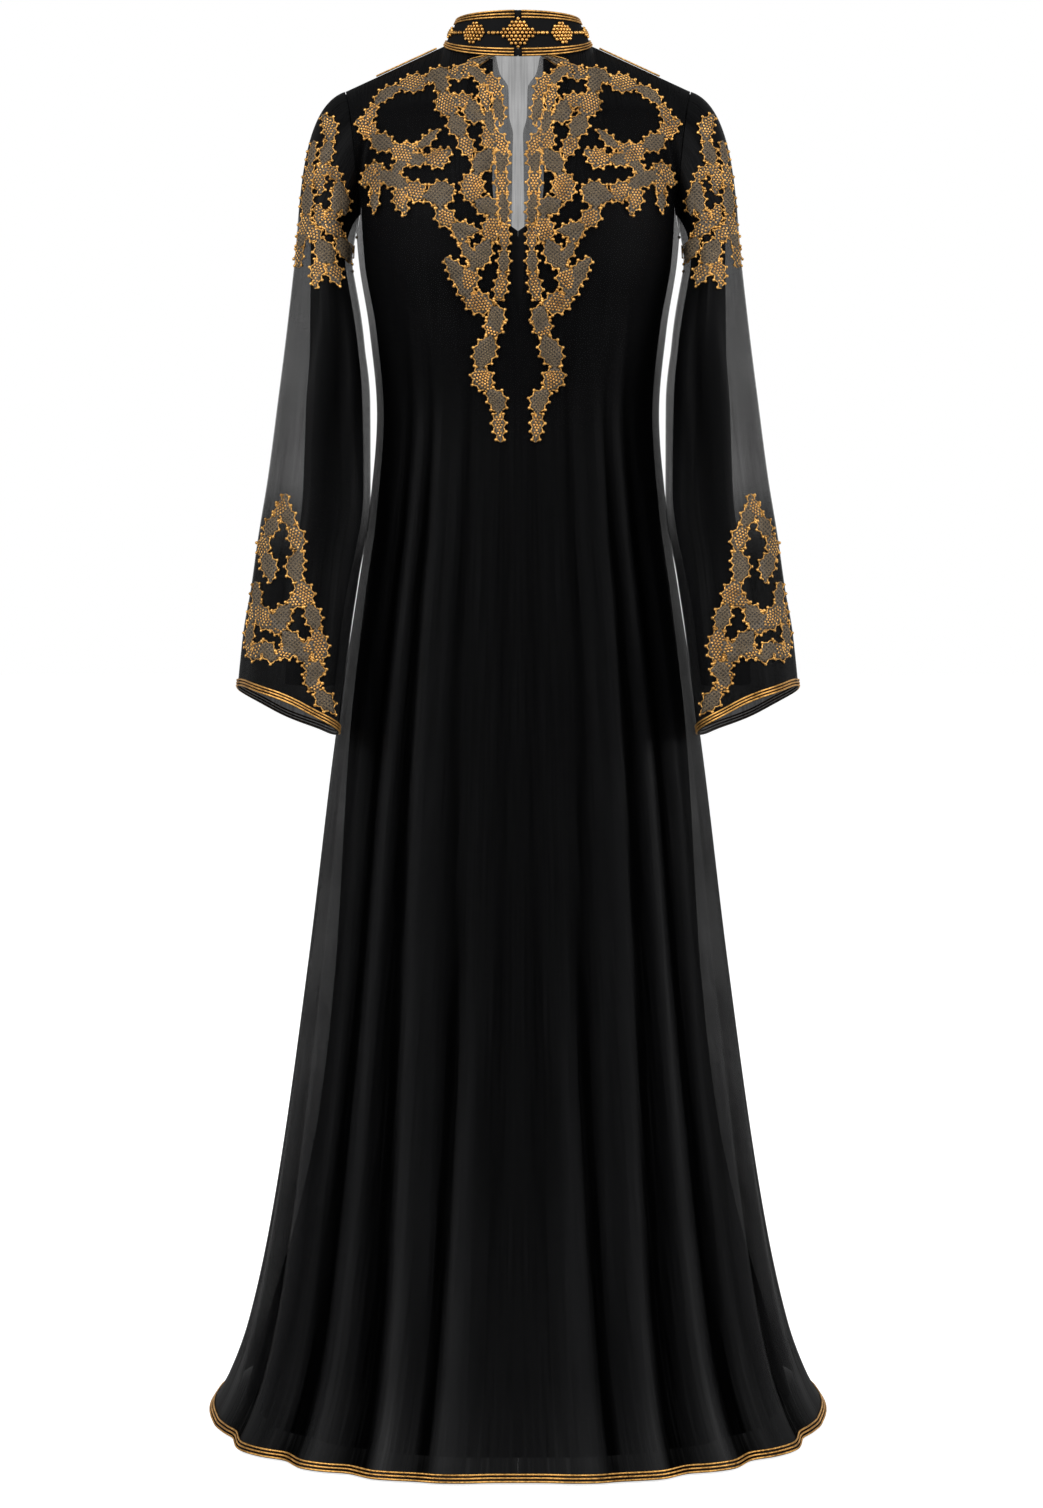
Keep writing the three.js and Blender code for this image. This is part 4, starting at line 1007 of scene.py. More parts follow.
class ABAYA_PG_settings(bpy.types.PropertyGroup):
    """Sizes and colours of the robe."""

    cloth_thickness: FloatProperty(
        name="Cloth thickness", description="Wall of the chiffon and lining", default=0.0008, unit="LENGTH"
    )
    chiffon_cover: FloatProperty(
        name="Chiffon cover", description="Share of light that one face of the chiffon stops", default=0.6,
        subtype="FACTOR", min=0, max=1,
    )
    chiffon_colour: FloatVectorProperty(
        name="Chiffon", description="Colour of the sheer cloth",
        default=(0.0045, 0.0046, 0.005), subtype="COLOR"
    )
    lining_colour: FloatVectorProperty(
        name="Lining", description="Colour of the lining", default=(0.0028, 0.0028, 0.003), subtype="COLOR"
    )
    gold_dark: FloatVectorProperty(
        name="Gold, dark", description="Dark tone of cord and beads",
        default=(0.20, 0.092, 0.019), subtype="COLOR"
    )
    gold_bright: FloatVectorProperty(
        name="Gold, bright", description="Bright tone of cord and beads",
        default=(0.86, 0.48, 0.135), subtype="COLOR"
    )
    net_thread: FloatVectorProperty(
        name="Net thread", description="Metal thread of the net",
        default=(0.12, 0.088, 0.052), subtype="COLOR"
    )
    net_ground: FloatVectorProperty(
        name="Net ground", description="Dark ground of the net",
        default=(0.014, 0.011, 0.009), subtype="COLOR"
    )
    dark_bead_low: FloatVectorProperty(
        name="Dark bead, low", description="Dark tone of the smoky beads", default=(0.05, 0.038, 0.026),
        subtype="COLOR",
    )
    dark_bead_high: FloatVectorProperty(
        name="Dark bead, high", description="Bright tone of the smoky beads", default=(0.19, 0.14, 0.082),
        subtype="COLOR",
    )
    cord_radius: FloatProperty(
        name="Trim cord", description="Radius of the cords of the trims", default=0.0009, unit="LENGTH"
    )
    outline_radius: FloatProperty(
        name="Outline cord", description="Radius of the cord round the applique",
        default=0.0007, unit="LENGTH"
    )
    edge_bead: FloatProperty(
        name="Edge bead", description="Radius of the beads on the scallops", default=0.00195, unit="LENGTH"
    )
    fill_bead: FloatProperty(
        name="Filling bead", description="Radius of the beads that fill a motif",
        default=0.0014, unit="LENGTH"
    )
    scallop: FloatProperty(
        name="Scallop", description="Distance from one scallop to the next", default=0.0085, unit="LENGTH"
    )
    panel_columns: IntProperty(
        name="Columns", description="Columns of faces in a half panel", default=84, min=8
    )


# Cover by height: from, to, the cover reached there, and how far from the centre line it starts
BODY_BANDS = (
    (-0.45, -0.2, 0.40, 0), (-0.9, -1.3, 0.74, 0), (-1.33, -1.4, 0.96, 0), (-0.085, -0.06, 0.97, 0.052),
)
SLEEVE_BANDS = ((-0.19, -0.165, 0.985, 0), (-0.45, -0.57, 0.76, 0))


def settings():
    return bpy.context.scene.abaya


def chiffon():
    """Body chiffon: more layers lie over each other towards the hem."""
    options = settings()
    cover = options.chiffon_cover
    return chiffon_material("Sheer chiffon", tuple(options.chiffon_colour), cover, BODY_BANDS)


def sleeve_chiffon():
    """Sleeve chiffon: sheerer, and backed at the cap."""
    options = settings()
    cover = options.chiffon_cover * 0.8
    return chiffon_material("Sheer sleeve chiffon", tuple(options.chiffon_colour), cover, SLEEVE_BANDS)


def lining_cloth():
    return lining_material("Lining cloth", tuple(settings().lining_colour))


def bead_gold():
    return gold_material("Gold beads", tuple(settings().gold_dark), tuple(settings().gold_bright), 0.22)


def dark_beads():
    options = settings()
    return gold_material("Dark beads", tuple(options.dark_bead_low), tuple(options.dark_bead_high), 0.35)


def cord_gold():
    return gold_material("Gold cord", tuple(settings().gold_dark), tuple(settings().gold_bright), 0.42)


def dark_net():
    return net_material("Dark net", tuple(settings().net_thread), tuple(settings().net_ground))


# Pieces

YOKE_SHARE = 0.2
# Painted fold shade: its level on plain cloth, and the crease depth that spans the painted shade of a
# sleeve.
FOLD_SHADE_LEVEL = 0.42
FOLD_SHADE_SPAN = 12.0


def level_of(share):
    """Level from a share of the panel's rows: more rows for the skirt than for the yoke."""
    return np.where(share < YOKE_SHARE, share / YOKE_SHARE, 1 + (share - YOKE_SHARE) / (1 - YOKE_SHARE))


def note_fold_shade(obj, fold_shades):
    """Keeps each point's painted fold shade as an attribute, 0 for painted shade in a trough and 1 for a
    painted highlight on a ridge.
    """
    attribute = obj.data.attributes.new("fold", "FLOAT", "POINT")
    attribute.data.foreach_set("value", np.clip(fold_shades, 0, 1).astype(np.float32))


def body_sheet(name, layer, side, columns, rows, halves, material, flat_size):
    """A body panel as a thin shell of one half, or of both joined along the centre."""
    fold_shades = []

    def place(u, v):
        level = level_of(1 - v)
        height = mix(layer.chest, layer.hem, np.clip(level - 1, 0, 1))
        angle = u * math.pi / 2
        # Painted shade and highlight of the folds, kept on the points for the cloth's colour.
        fold_shades.append(FOLD_SHADE_LEVEL + painted_fold_shade(side, angle, height))
        return layer.panel(side, u, level)

    obj = add_grid(name, columns, rows, place)
    note_fold_shade(obj, fold_shades[0])
    scale_uv(obj, flat_size[0] / halves, flat_size[1])
    if side == "back":
        obj.data.flip_normals()
    if halves == 2:
        obj = join_pieces(name, [obj, mirror_copy(obj, f"{name}_other")])
        edit_mesh(obj, merge_seam)
    shell(obj, settings().cloth_thickness)
    give(obj, material)
    return obj


class ABAYA_OT_outer(bpy.types.Operator):
    """Adds the sheer outer fronts and back"""
    bl_idname = "abaya.add_outer"
    bl_label = "Add outer cloth"

    def execute(self, context):
        columns = settings().panel_columns
        size = (0.42, 1.46)
        front = body_sheet("front_cloth_left", OUTER, "front", columns, 170, 1, chiffon(), size)
        other = mirror_copy(front, "front_cloth_right")
        for obj, node in [(front, "front_left"), (other, "front_right")]:
            settle(obj, "chiffon", node)
        size = (0.86, 1.5)
        back = body_sheet("back_cloth", OUTER, "back", columns, 170, 2, chiffon(), size)
        settle(back, "chiffon", "back")
        return {"FINISHED"}


class ABAYA_OT_lining(bpy.types.Operator):
    """Adds the lining's body and its narrow sleeves"""
    bl_idname = "abaya.add_lining"
    bl_label = "Add lining"

    def execute(self, context):
        for side in ("front", "back"):
            size = (0.74, 1.43)
            obj = body_sheet(f"lining_{side}_cloth", LINING, side, 48, 110, 2, lining_cloth(), size)
            settle(obj, "lining", f"lining_{side}")
        sleeve = tube_sheet(
            "lining_sleeve_cloth_left", LINING_SLEEVE_FORM, 60, 90, (0.3, 0.64), lining_cloth()
        )
        other = mirror_copy(sleeve, "lining_sleeve_cloth_right")
        for obj, node in [(sleeve, "lining_sleeve_left"), (other, "lining_sleeve_right")]:
            settle(obj, "lining", node)
        return {"FINISHED"}


def tube_sheet(name, form, columns, rows, flat_size, material):
    """A sleeve as one thin shell, joined along its underarm seam."""
    fold_shades = []

    def place(u, v):
        turn = u * 2 * math.pi + math.pi
        level = 2 * (1 - v)
        height = mix(SLEEVE_HEAD_HEIGHT, form.end, np.clip(level - 1, 0, 1))
        # Painted shade in the sleeve's creases and painted light on their crests, kept on the points for the
        # cloth's colour.
        fold_shades.append(FOLD_SHADE_LEVEL + sleeve_creases(turn, height) / FOLD_SHADE_SPAN * 1.6)
        return form.surface(turn, level)

    obj = add_grid(name, columns, rows, place)
    note_fold_shade(obj, fold_shades[0])
    scale_uv(obj, flat_size[0], flat_size[1])
    edit_mesh(obj, merge_seam, flip_faces)
    shell(obj, settings().cloth_thickness)
    give(obj, material)
    return obj


class ABAYA_OT_sleeves(bpy.types.Operator):
    """Adds the sheer bell sleeves"""
    bl_idname = "abaya.add_sleeves"
    bl_label = "Add sleeves"

    def execute(self, context):
        sleeve = tube_sheet("sleeve_cloth_left", SLEEVE, 128, 150, (0.4, 0.66), sleeve_chiffon())
        other = mirror_copy(sleeve, "sleeve_cloth_right")
        for obj, node in [(sleeve, "sleeve_left"), (other, "sleeve_right")]:
            settle(obj, "chiffon", node)
        return {"FINISHED"}


class ABAYA_OT_collar(bpy.types.Operator):
    """Adds the stand collar with its closing tabs"""
    bl_idname = "abaya.add_collar"
    bl_label = "Add collar"

    def execute(self, context):
        gap = 0.006
        obj = add_grid(
            "collar_cloth", 160, 16, lambda u, v: collar_surface(mix(gap, 2 * math.pi - gap, u), v)
        )
        scale_uv(obj, 0.43, 0.045)
        shell(obj, 0.0014)
        give(obj, lining_cloth())
        settle(obj, "chiffon", "collar")
        for name, level in [("top", 0.92), ("seam", 0.08)]:
            place = collar_surface(0.0, level)
            bpy.ops.object.select_all(action="DESELECT")
            bpy.ops.mesh.primitive_cube_add(size=1)
            tab = bpy.context.object
            tab.name = f"closing_tab_{name}_cloth"
            size = np.array([5.6, 2.2, 6.4]) * MM
            centre = in_metres(place + np.array([0, -1.9, 0]))
            for vertex in tab.data.vertices:
                vertex.co = centre + np.array(vertex.co) * size
            apply_modifier(tab, "BEVEL", width=0.0008, segments=3)
            bpy.ops.object.shade_smooth_by_angle(angle=math.radians(50))
            give(tab, lining_cloth())
            settle(tab, "lining", f"closing_tab_{name}")
        return {"FINISHED"}


def half_ring(side, hand, level, count):
    """Points round a quarter of the outer hem at a level."""
    places = np.linspace(0, 1, count)
    point = OUTER.panel(side, places, np.full(count, level))
    return point * np.array([hand, 1, 1])


def hem_run(height, count=150):
    """The closed run of points round the hem at a height above the floor."""
    level = 1 + (CHEST_HEIGHT - height) / (CHEST_HEIGHT - HEM_HEIGHT)
    quarters = [
        half_ring("front", 1, level, count), half_ring("back", 1, level, count)[::-1],
        half_ring("back", -1, level, count), half_ring("front", -1, level, count)[::-1],
    ]
    return np.concatenate([quarter[:-1] for quarter in quarters])


def pushed_out(points, distance):
    """A closed level run of points moved outwards."""
    along = unit(np.roll(points, -1, axis=0) - np.roll(points, 1, axis=0))
    out = np.cross(along, np.array([0, 0, 1]))
    centre = points.mean(axis=0)
    sense = np.sign(np.sum(out * (points - centre), axis=1, keepdims=True))
    return points + unit(out * sense) * distance


CORD_STEPS = (1.3, 4.2, 7.1)


class ABAYA_OT_trims(bpy.types.Operator):
    """Adds the gold cords of hem, cuffs, collar and shoulder seams"""
    bl_idname = "abaya.add_trims"
    bl_label = "Add cords"

    def execute(self, context):
        radius = settings().cord_radius
        runs = [(pushed_out(hem_run(HEM_HEIGHT + step), 1.2), True) for step in CORD_STEPS]
        hem = cord_mesh("hem_cords", runs, radius)
        give(hem, cord_gold())
        settle(hem, "gold_trim", "hem_trim")
        self.add_cuffs(radius)
        self.add_collar_cords(radius)
        self.add_shoulder_cords(radius)
        return {"FINISHED"}

    def add_cuffs(self, radius):
        turns = np.linspace(0, 2 * math.pi, 181)[:-1]
        runs = []
        for step in CORD_STEPS:
            level = 2 - step / (SLEEVE_HEAD_HEIGHT - SLEEVE.end)
            point, normal = outward(SLEEVE.surface, turns, np.full(turns.shape, level), -1)
            runs.append((point + normal * 1.1, True))
        cuff = cord_mesh("cuff_cords_left", runs, radius)
        give(cuff, cord_gold())
        other = mirror_copy(cuff, "cuff_cords_right")
        for obj, node in [(cuff, "cuff_trim_left"), (other, "cuff_trim_right")]:
            settle(obj, "gold_trim", node)

    def add_collar_cords(self, radius):
        for edge, levels in [("top", (0.985, 0.915, 0.845)), ("seam", (0.155, 0.085, 0.015))]:
            angles = np.linspace(0.055, math.pi - 0.002, 90)
            runs = []
            for level in levels:
                point, normal = outward(collar_surface, angles, np.full(angles.shape, level), -1)
                runs.append((point + normal * 1.1, False))
            left = cord_mesh(f"collar_{edge}_cords_left", runs, radius * 0.95)
            give(left, cord_gold())
            right = mirror_copy(left, f"collar_{edge}_cords_right")
            for obj, hand in [(left, "left"), (right, "right")]:
                settle(obj, "gold_trim", f"collar_{edge}_trim_{hand}")

    def add_shoulder_cords(self, radius):
        places = np.linspace(0.41, 0.8, 40)
        ridge = OUTER.panel("front", places, np.zeros(places.shape))
        runs = [(ridge + np.array([0.3, shift, 1.4]), False) for shift in (-1.1, 1.1)]
        left = cord_mesh("shoulder_cords_left", runs, radius)
        give(left, cord_gold())
        right = mirror_copy(left, "shoulder_cords_right")
        for obj, hand in [(left, "left"), (right, "right")]:
            settle(obj, "gold_trim", f"shoulder_cord_{hand}")


class Stroke:
    """One applique stroke as a smooth middle line with a half width, in x and height."""

    def __init__(self, fills, points):
        self.fills = fills
        raw = np.array(points, float)
        steps = np.linalg.norm(np.diff(raw[:, :2], axis=0), axis=1)
        knots = np.concatenate([[0], np.cumsum(steps)])
        self.length = knots[-1]
        tangents = np.empty(raw.shape)
        tangents[1:-1] = (raw[2:] - raw[:-2]) / (knots[2:] - knots[:-2])[:, None]
        tangents[0] = (raw[1] - raw[0]) / (knots[1] - knots[0])
        tangents[-1] = (raw[-1] - raw[-2]) / (knots[-1] - knots[-2])
        self.knots = knots
        self.raw = raw
        self.tangents = tangents
        self.start_cap = raw[0, 2] * 0.8
        self.end_cap = raw[-1, 2] * 0.8

    def middle(self, s):
        """Point and half width at a distance along the stroke, with rounded ends."""
        inside = np.clip(s, 0, self.length)
        i = np.clip(np.searchsorted(self.knots, inside, side="right") - 1, 0, len(self.knots) - 2)
        span = self.knots[i + 1] - self.knots[i]
        t = ((inside - self.knots[i]) / span)[..., None]
        span = span[..., None]
        leave = self.tangents[i] * span
        value = hermite(self.raw[i], self.raw[i + 1], leave, self.tangents[i + 1] * span, t)
        beyond = s - inside
        ends = np.where((beyond > 0)[..., None], self.tangents[-1], self.tangents[0])
        point = value[..., :2] + unit(ends[..., :2]) * beyond[..., None]
        cap = np.where(beyond > 0, self.end_cap, self.start_cap)
        round_off = np.sqrt(np.clip(1 - (np.abs(beyond) / np.maximum(cap, 0.1)) ** 2, 0.0, 1))
        return point, value[..., 2] * round_off

    def side(self, s):
        step = 0.5
        ahead, _ = self.middle(s + step)
        behind, _ = self.middle(s - step)
        along = unit(ahead - behind)
        return along, joined(-along[..., 1], along[..., 0])

    def place(self, s, across):
        """x and height at a distance along the stroke and a share of the half width across it."""
        point, half = self.middle(s)
        _, side = self.side(s)
        return point + side * (half * across)[..., None]

    def span(self, step):
        count = max(4, int(round((self.length + self.start_cap + self.end_cap) / step)))
        return np.linspace(-self.start_cap, self.length + self.end_cap, count + 1)

    def holds(self, points, margin):
        """Which points lie inside the stroke, at least a margin from its edge."""
        s = self.span(2.0)
        middle, half = self.middle(s)
        apart = np.linalg.norm(points[:, None, :] - middle[None, :, :], axis=2)
        return np.any(apart < (half - margin)[None, :], axis=1)


class Leaf:
    """A stretch of a stroke as one lobed leaf that narrows to both ends."""

    def __init__(self, stroke, first, last, fill):
        self.stroke = stroke
        self.first = first
        self.last = last
        self.fill = fill

    def middle(self, s):
        point, half = self.stroke.middle(s)
        share = np.clip((s - self.first) / (self.last - self.first), 0, 1)
        belly = np.sin(math.pi * share) ** LEAF_ROUND
        return point, half * belly * LEAF_WIDTH

    def side(self, s):
        return self.stroke.side(s)

    def place(self, s, across):
        point, half = self.middle(s)
        _, side = self.side(s)
        return point + side * (half * across)[..., None]

    def span(self, step):
        count = max(6, int(round((self.last - self.first) / step)))
        return np.linspace(self.first, self.last, count + 1)

    def holds(self, points, margin):
        """Which points lie inside the leaf, at least a margin from its edge."""
        s = self.span(1.5)
        middle, half = self.middle(s)
        apart = np.linalg.norm(points[:, None, :] - middle[None, :, :], axis=2)
        return np.any(apart < (half - margin)[None, :], axis=1)


LEAF_LENGTH = 27.0
LEAF_ROUND = 0.55
LEAF_WIDTH = 0.92
LEAF_OVERLAP = 0.2


def leaves_of(stroke, index):
    """Cuts a stroke into leaves of about one length, gold and dark by turns."""
    start = -stroke.start_cap
    total = stroke.length + stroke.start_cap + stroke.end_cap
    count = max(1, int(round(total / LEAF_LENGTH)))
    shares = np.arange(count + 1) / count
    shift = 0.1 * np.sin(2.1 * np.arange(count + 1) + index)
    shift[0] = 0
    shift[-1] = 0
    cuts = start + total * (shares + shift / count)
    found = []
    for i in range(count):
        letter = stroke.fills[min(int(i * len(stroke.fills) / count), len(stroke.fills) - 1)]
        if count > len(stroke.fills):
            letter = "gm"[(i + index) % 2]
        found.append(Leaf(stroke, cuts[i] - LEAF_OVERLAP, cuts[i + 1] + LEAF_OVERLAP, letter))
    return found


def outline_points(stroke, pitch):
    """The closed scalloped outline of a stroke and which of its points are scallop tips."""
    s = stroke.span(1.5)
    left = stroke.place(s, np.ones(s.shape))
    right = stroke.place(s, -np.ones(s.shape))[::-1]
    ring = np.concatenate([left, right[1:-1]])
    ends = np.concatenate([ring, ring[:1]])
    steps = np.linalg.norm(np.diff(ends, axis=0), axis=1)
    knots = np.concatenate([[0], np.cumsum(steps)])
    total = knots[-1]
    lobes = max(5, int(round(total / pitch)))
    per_lobe = 6
    at = np.arange(lobes * per_lobe) * total / (lobes * per_lobe)
    base = np.stack([np.interp(at, knots, ends[:, k]) for k in range(2)], axis=1)
    along = unit(np.roll(base, -1, axis=0) - np.roll(base, 1, axis=0))
    out = np.stack([along[:, 1], -along[:, 0]], axis=1)
    area = np.sum(base[:, 0] * np.roll(base[:, 1], -1) - np.roll(base[:, 0], -1) * base[:, 1])
    if area < 0:
        out = -out
    phase = np.arange(len(base)) % per_lobe
    wave = np.abs(np.sin(math.pi * phase / per_lobe))
    return base + out * (wave * 2.4 - 0.9)[:, None], phase == per_lobe // 2, along, out


class Ground:
    """The cloth that applique lies on: gives points and outward directions for x and height."""

    def __init__(self, surface, sense, first):
        self.surface = surface
        self.sense = sense
        self.first = first

    def at(self, flat_points):
        x = flat_points[..., 0]
        height = flat_points[..., 1]
        a, b = locate(self.surface, x, height, self.first(x, height))
        return outward(self.surface, a, b, self.sense)


def front_first(x, height):
    place = np.clip(x / 170, 0.03, 0.97)
    low = 1 + (CHEST_HEIGHT - height) / CHEST_HEIGHT
    return place, np.where(height > CHEST_HEIGHT, (1410 - height) / 180, low)


FRONT_GROUND = Ground(lambda a, b: OUTER.surface("front", a, b), 1, front_first)
CAP_GROUND = Ground(SLEEVE.surface, -1, lambda x, h: (np.full(x.shape, 1.1), np.full(x.shape, 0.6)))
CUFF_GROUND = Ground(SLEEVE.surface, -1, lambda x, h: (np.full(x.shape, 1.4), np.full(x.shape, 1.8)))
PAD_LIFT = 0.5
PAD_CROWN = 2.0


def pad_mesh(name, strokes, ground):
    """The raised net under the beads: each stroke a crowned closed strip."""
    pieces = []
    for index, stroke in enumerate(strokes):
        s = stroke.span(3.0)
        rows = len(s) - 1

        def place(u, v, stroke=stroke, s=s):
            along = mix(s[0] + 0.15, s[-1] - 0.15, v)
            across = 2 * u - 1
            point, normal = ground.at(stroke.place(along, across))
            crown = PAD_LIFT + (PAD_CROWN - PAD_LIFT) * (1 - np.abs(across) ** 3)
            return point + normal * crown[:, None]

        piece = add_grid(f"{name}_{index}", 8, rows, place)
        apply_modifier(piece, "SOLIDIFY", thickness=0.0006, offset=-1)
        pieces.append(piece)
    obj = join_pieces(name, pieces)
    bpy.ops.object.shade_smooth_by_angle(angle=math.radians(60))
    return obj


def outline_parts(strokes, ground, pitch):
    """Cord runs along the outline, and the beads on its scallops."""
    runs = []
    tips = []
    tip_alongs = []
    for index, stroke in enumerate(strokes):
        flat, tip, along, out = outline_points(stroke, pitch)
        hidden = np.zeros(len(flat), bool)
        for other_index, other in enumerate(strokes):
            if other_index != index:
                hidden |= other.holds(flat, 1.5)
        if np.all(hidden):
            continue
        point, normal = ground.at(flat)
        cord = point + normal * (PAD_LIFT + 0.5)
        closed = not np.any(hidden)
        if closed:
            runs.append((cord, True))
        else:
            first = int(np.argmax(hidden))
            order = np.roll(np.arange(len(flat)), -first)
            run = []
            for i in order:
                if hidden[i]:
                    if len(run) > 2:
                        runs.append((np.array(run), False))
                    run = []
                else:
                    run.append(cord[i])
            if len(run) > 2:
                runs.append((np.array(run), False))
        keep = tip & ~hidden
        outward_flat = flat + out * 1.1
        tip_point, tip_normal = ground.at(outward_flat[keep])
        if len(tip_point):
            tips.append(np.concatenate([tip_point + tip_normal * (PAD_LIFT + 0.9), tip_normal], axis=1))
            ahead, _ = ground.at(outward_flat[keep] + along[keep])
            tip_alongs.append(ahead - tip_point)
    tips = np.concatenate(tips)
    return runs, tips[:, :3], tips[:, 3:], np.concatenate(tip_alongs)


def filling(leaves, ground, size, letter, pitch_share):
    """Beads in rows over each leaf that has the asked filling."""
    found = []
    pitch = size * 2 * pitch_share
    row_pitch = pitch * 0.87
    for index, leaf in enumerate(leaves):
        if leaf.fill != letter:
            continue
        s = np.arange(leaf.first + size, leaf.last - size, row_pitch)
        middle, half = leaf.middle(s)
        along, side = leaf.side(s)
        stagger = np.where(np.arange(len(s)) % 2 == 0, 0, pitch / 2)
        for column in range(-5, 6):
            shift = column * pitch + stagger
            inside = np.abs(shift) < half - size * 0.9
            if not np.any(inside):
                continue
            flat = middle[inside] + side[inside] * shift[inside][:, None]
            hidden = np.zeros(len(flat), bool)
            for other in leaves[:index]:
                hidden |= other.holds(flat, -0.4)
            flat = flat[~hidden]
            if len(flat):
                share = np.abs(shift[inside][~hidden]) / half[inside][~hidden]
                found.append(np.concatenate([flat, along[inside][~hidden], share[:, None]], axis=1))
    found = np.concatenate(found)
    point, normal = ground.at(found[:, :2])
    ahead, _ = ground.at(found[:, :2] + found[:, 2:4])
    crown = PAD_LIFT + (PAD_CROWN - PAD_LIFT) * (1 - np.abs(found[:, 4]) ** 3)
    return point + normal * (crown + size * 0.3)[:, None], normal, ahead - point


def applique(name, rows, ground, node):
    """Net, outline cord and beads of one side's applique, and their mirrored copies."""
    options = settings()
    strokes = [Stroke(row[0], row[1:]) for row in rows]
    leaves = [leaf for index, stroke in enumerate(strokes) for leaf in leaves_of(stroke, index)]
    pad = pad_mesh(f"{name}_net_left", leaves, ground)
    give(pad, dark_net())
    runs, tips, tip_normals, tip_alongs = outline_parts(leaves, ground, options.scallop / MM)
    cord = cord_mesh(f"{name}_outline_left", runs, options.outline_radius, 0)
    give(cord, cord_gold())
    bead = options.edge_bead / MM
    sizes = np.full((len(tips), 3), bead) * np.array([1.0, 1.0, 0.85])
    edge = bead_mesh(f"{name}_edge_beads_left", tips, tip_normals, tip_alongs, sizes)
    give(edge, bead_gold())
    made = [pad, cord, edge]
    for kind, letter, size, pitch, material in (
        ("gold", "g", options.fill_bead / MM, 1.12, bead_gold()),
        ("dark", "m", options.fill_bead / MM * 0.85, 1.2, dark_beads()),
    ):
        points, normals, alongs = filling(leaves, ground, size, letter, pitch)
        sizes = np.full((len(points), 3), size) * np.array([1.0, 0.95, 0.9])
        beads = bead_mesh(f"{name}_{kind}_beads_left", points, normals, alongs, sizes)
        give(beads, material)
        made.append(beads)
    for obj in made:
        twin = mirror_copy(obj, obj.name.replace("_left", "_right"))
        for piece, hand in [(obj, "left"), (twin, "right")]:
            if obj is pad:
                settle(piece, "applique", f"{node}_{hand}")
            else:
                settle(piece, "applique")


class ABAYA_OT_applique(bpy.types.Operator):
    """Adds the beaded applique of fronts, sleeve caps and cuffs"""
    bl_idname = "abaya.add_applique"
    bl_label = "Add applique"

    def execute(self, context):
        applique("front_applique", FRONT_STROKES, FRONT_GROUND, "front_applique")
        applique("cap_applique", CAP_STROKES, CAP_GROUND, "cap_applique")
        applique("cuff_applique", CUFF_STROKES, CUFF_GROUND, "cuff_applique")
        return {"FINISHED"}


class ABAYA_OT_medallions(bpy.types.Operator):
    """Adds the beaded diamonds round the collar"""
    bl_idname = "abaya.add_medallions"
    bl_label = "Add collar medallions"

    def execute(self, context):
        size = settings().edge_bead / MM * 1.05
        for index, node in enumerate(MEDALLION_NODES):
            angle = math.radians(MEDALLIONS["angle"][index]) + 1e-5
            half = MEDALLIONS["half"][index]
            tall = MEDALLIONS["tall"][index]
            places = []
            pitch = size * 2.05
            for row in range(-6, 7):
                height = row * pitch * 0.88
                if abs(height) > tall - size * 0.6:
                    continue
                reach = half * (1 - abs(height) / tall) ** 0.75
                shift = pitch / 2 if row % 2 else 0
                for column in range(-7, 8):
                    x = column * pitch + shift
                    if abs(x) <= reach:
                        places.append((x, height))
            places += [(hand * (half + gap), 0) for hand in (-1, 1) for gap in (2.6, 6.6)]
            places = np.array(places)
            angles = angle + places[:, 0] / 70
            levels = 0.5 + places[:, 1] / 48
            point, normal = outward(collar_surface, angles, levels, -1)
            dome = np.maximum(1.6 - 0.7 * (np.abs(places[:, 0]) / half + np.abs(places[:, 1]) / tall), 0.9)
            ahead = collar_surface(angles + 0.01, levels) - point
            spread = np.full((len(point), 3), size) * np.array([1.0, 1.0, 1.0])
            lifted = point + normal * (dome + 0.6)[:, None]
            obj = bead_mesh(f"medallion_{node}_beads", lifted, normal, ahead, spread)
            give(obj, bead_gold())
            settle(obj, "applique", f"medallion_{node}")
        return {"FINISHED"}


AMBIENT = 0.4
FLOOR_GLOW = 0.8


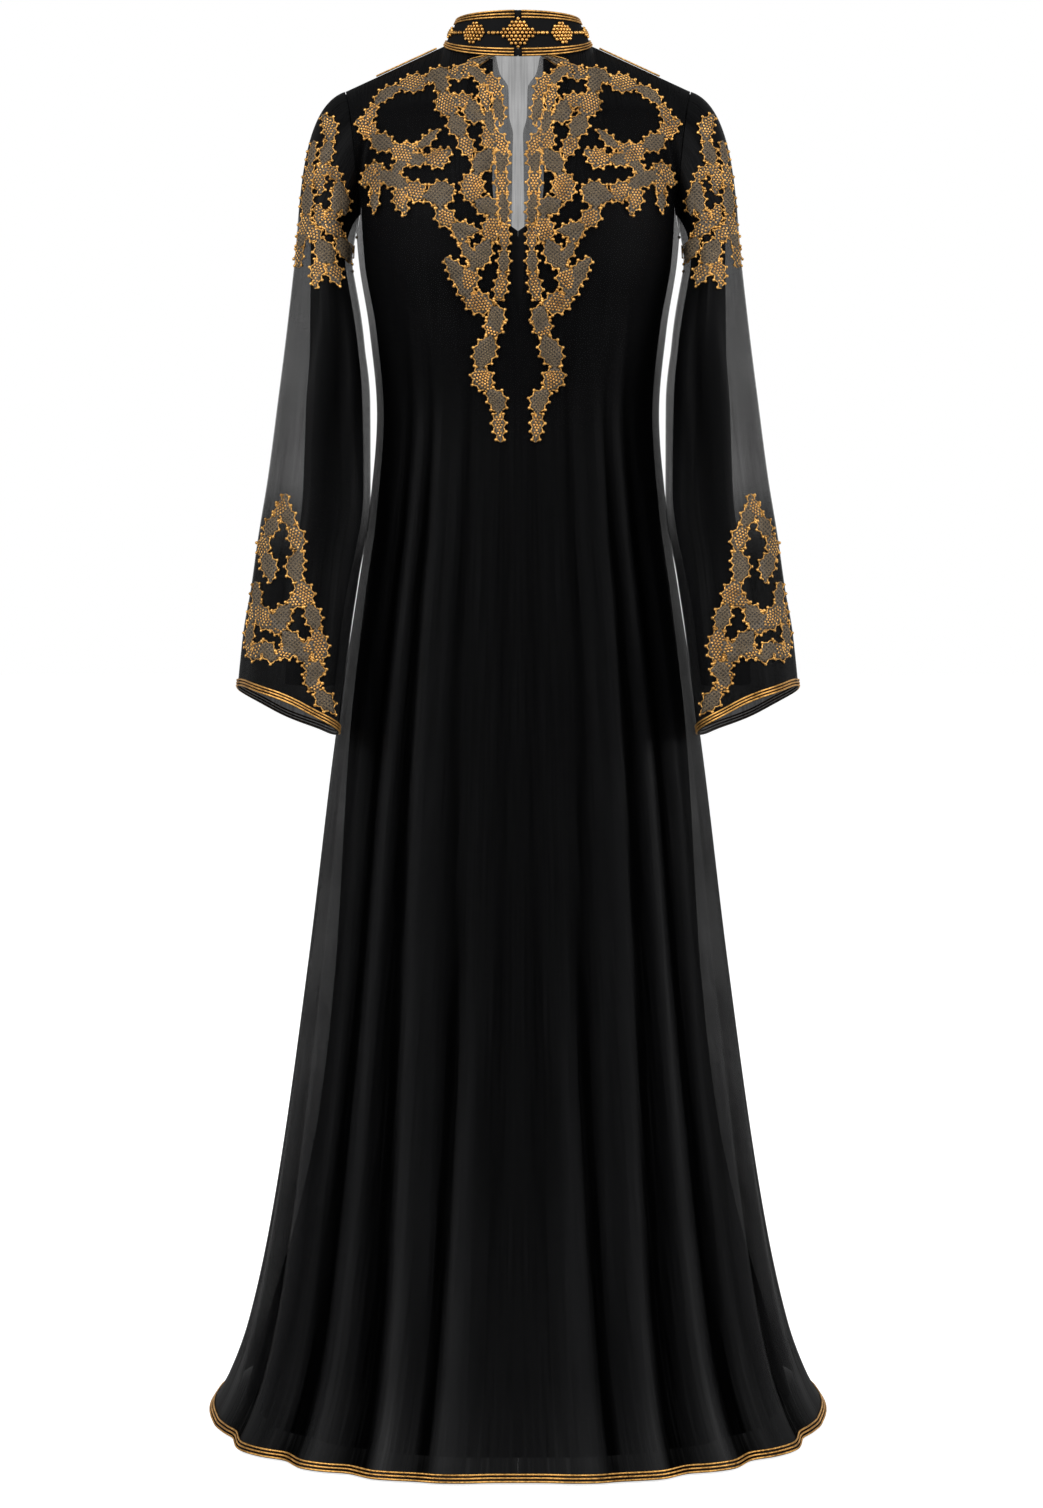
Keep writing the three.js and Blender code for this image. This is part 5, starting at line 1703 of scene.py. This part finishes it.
class ABAYA_OT_stage(bpy.types.Operator):
    """Adds the floor, soft lights, pale surroundings and the camera"""
    bl_idname = "abaya.add_stage"
    bl_label = "Add stage"

    def execute(self, context):
        scene = context.scene
        floor_height = -NECK_HEIGHT * MM
        bpy.ops.object.select_all(action="DESELECT")
        bpy.ops.mesh.primitive_plane_add(size=40, location=(0, 0, floor_height))
        floor = context.object
        floor.name = "studio_floor"
        material, nodes, shader = new_material("Pale floor")
        shader.inputs["Base Color"].default_value = (0.5, 0.5, 0.5, 1)
        shader.inputs["Emission Color"].default_value = (1, 1, 1, 1)
        ray = nodes.add("ShaderNodeLightPath")
        glow = nodes.between(0.1, FLOOR_GLOW, ray.outputs["Is Camera Ray"])
        nodes.link(glow, shader.inputs["Emission Strength"])
        shader.inputs["Roughness"].default_value = 0.9
        shader.inputs["Specular IOR Level"].default_value = 0.1
        give(floor, material)
        world = bpy.data.worlds.new("Pale surroundings")
        world.use_nodes = True
        background = next(node for node in world.node_tree.nodes if node.type == "BACKGROUND")
        background.inputs[0].default_value = (1, 1, 1, 1)
        world_nodes = Nodes(world.node_tree)
        ray = world_nodes.add("ShaderNodeLightPath")
        seen = world_nodes.between(AMBIENT, 1.0, ray.outputs["Is Camera Ray"])
        world_nodes.link(seen, background.inputs[1])
        scene.world = world
        lights = [
            ("key", (-2.6, -2.6, 1.3), (0, 0, -0.4), 1.6, 150),
            ("side", (2.9, -1.5, 0.5), (0, 0, -0.7), 1.5, 85),
            ("top", (0.2, -2.2, 1.9), (0, 0, -0.2), 1.2, 35),
            ("rim", (0.6, 3.2, 0.6), (0, 0, -0.7), 2.0, 14),
        ]
        for name, place, target, size, power in lights:
            bpy.ops.object.light_add(type="AREA", location=place)
            lamp = context.object
            lamp.name = f"{name}_light"
            lamp.data.size = size
            lamp.data.energy = power
            reach = np.array(target) - np.array(place)
            yaw = math.atan2(reach[1], reach[0])
            pitch = math.atan2(-reach[2], math.hypot(reach[0], reach[1]))
            lamp.rotation_euler = (math.pi / 2 - pitch, 0, yaw - math.pi / 2)
        bpy.ops.object.camera_add(location=(0, -3.5, 0.9 + floor_height), rotation=(math.pi / 2, 0, 0))
        camera = context.object
        camera.name = "front_camera"
        frame_height = 1508
        focal_pixels = 3333
        horizon_row = 548
        centre_column = 518
        camera.data.sensor_width = 36
        camera.data.lens = focal_pixels * 36 / frame_height
        camera.data.shift_x = (1043 / 2 - centre_column) / frame_height
        camera.data.shift_y = -(frame_height / 2 - horizon_row) / frame_height
        camera.data.clip_end = 60
        camera.data.dof.use_dof = False
        scene.camera = camera
        scene.view_settings.view_transform = "Standard"
        scene.view_settings.look = "None"
        scene.cycles.transparent_max_bounces = 16
        return {"FINISHED"}


class ABAYA_PT_panel(bpy.types.Panel):
    """Lists the pieces of the robe"""
    bl_idname = "ABAYA_PT_panel"
    bl_label = "Abaya"
    bl_space_type = "VIEW_3D"
    bl_region_type = "UI"
    bl_category = "Abaya"

    def draw(self, context):
        layout = self.layout
        for name in ABAYA_PG_settings.__annotations__:
            layout.prop(context.scene.abaya, name)
        for operator in OPERATORS:
            layout.operator(operator.bl_idname)


OPERATORS = (
    ABAYA_OT_stage,
    ABAYA_OT_lining,
    ABAYA_OT_outer,
    ABAYA_OT_sleeves,
    ABAYA_OT_collar,
    ABAYA_OT_trims,
    ABAYA_OT_applique,
    ABAYA_OT_medallions,
)


def register():
    bpy.utils.register_class(ABAYA_PG_settings)
    for operator in OPERATORS:
        bpy.utils.register_class(operator)
    bpy.utils.register_class(ABAYA_PT_panel)
    bpy.types.Scene.abaya = PointerProperty(type=ABAYA_PG_settings)


def unregister():
    del bpy.types.Scene.abaya
    bpy.utils.unregister_class(ABAYA_PT_panel)
    for operator in reversed(OPERATORS):
        bpy.utils.unregister_class(operator)
    bpy.utils.unregister_class(ABAYA_PG_settings)


def main():
    register()
    for operator in OPERATORS:
        group, name = operator.bl_idname.split(".")
        getattr(getattr(bpy.ops, group), name)()


if __name__ == "__main__":
    main()
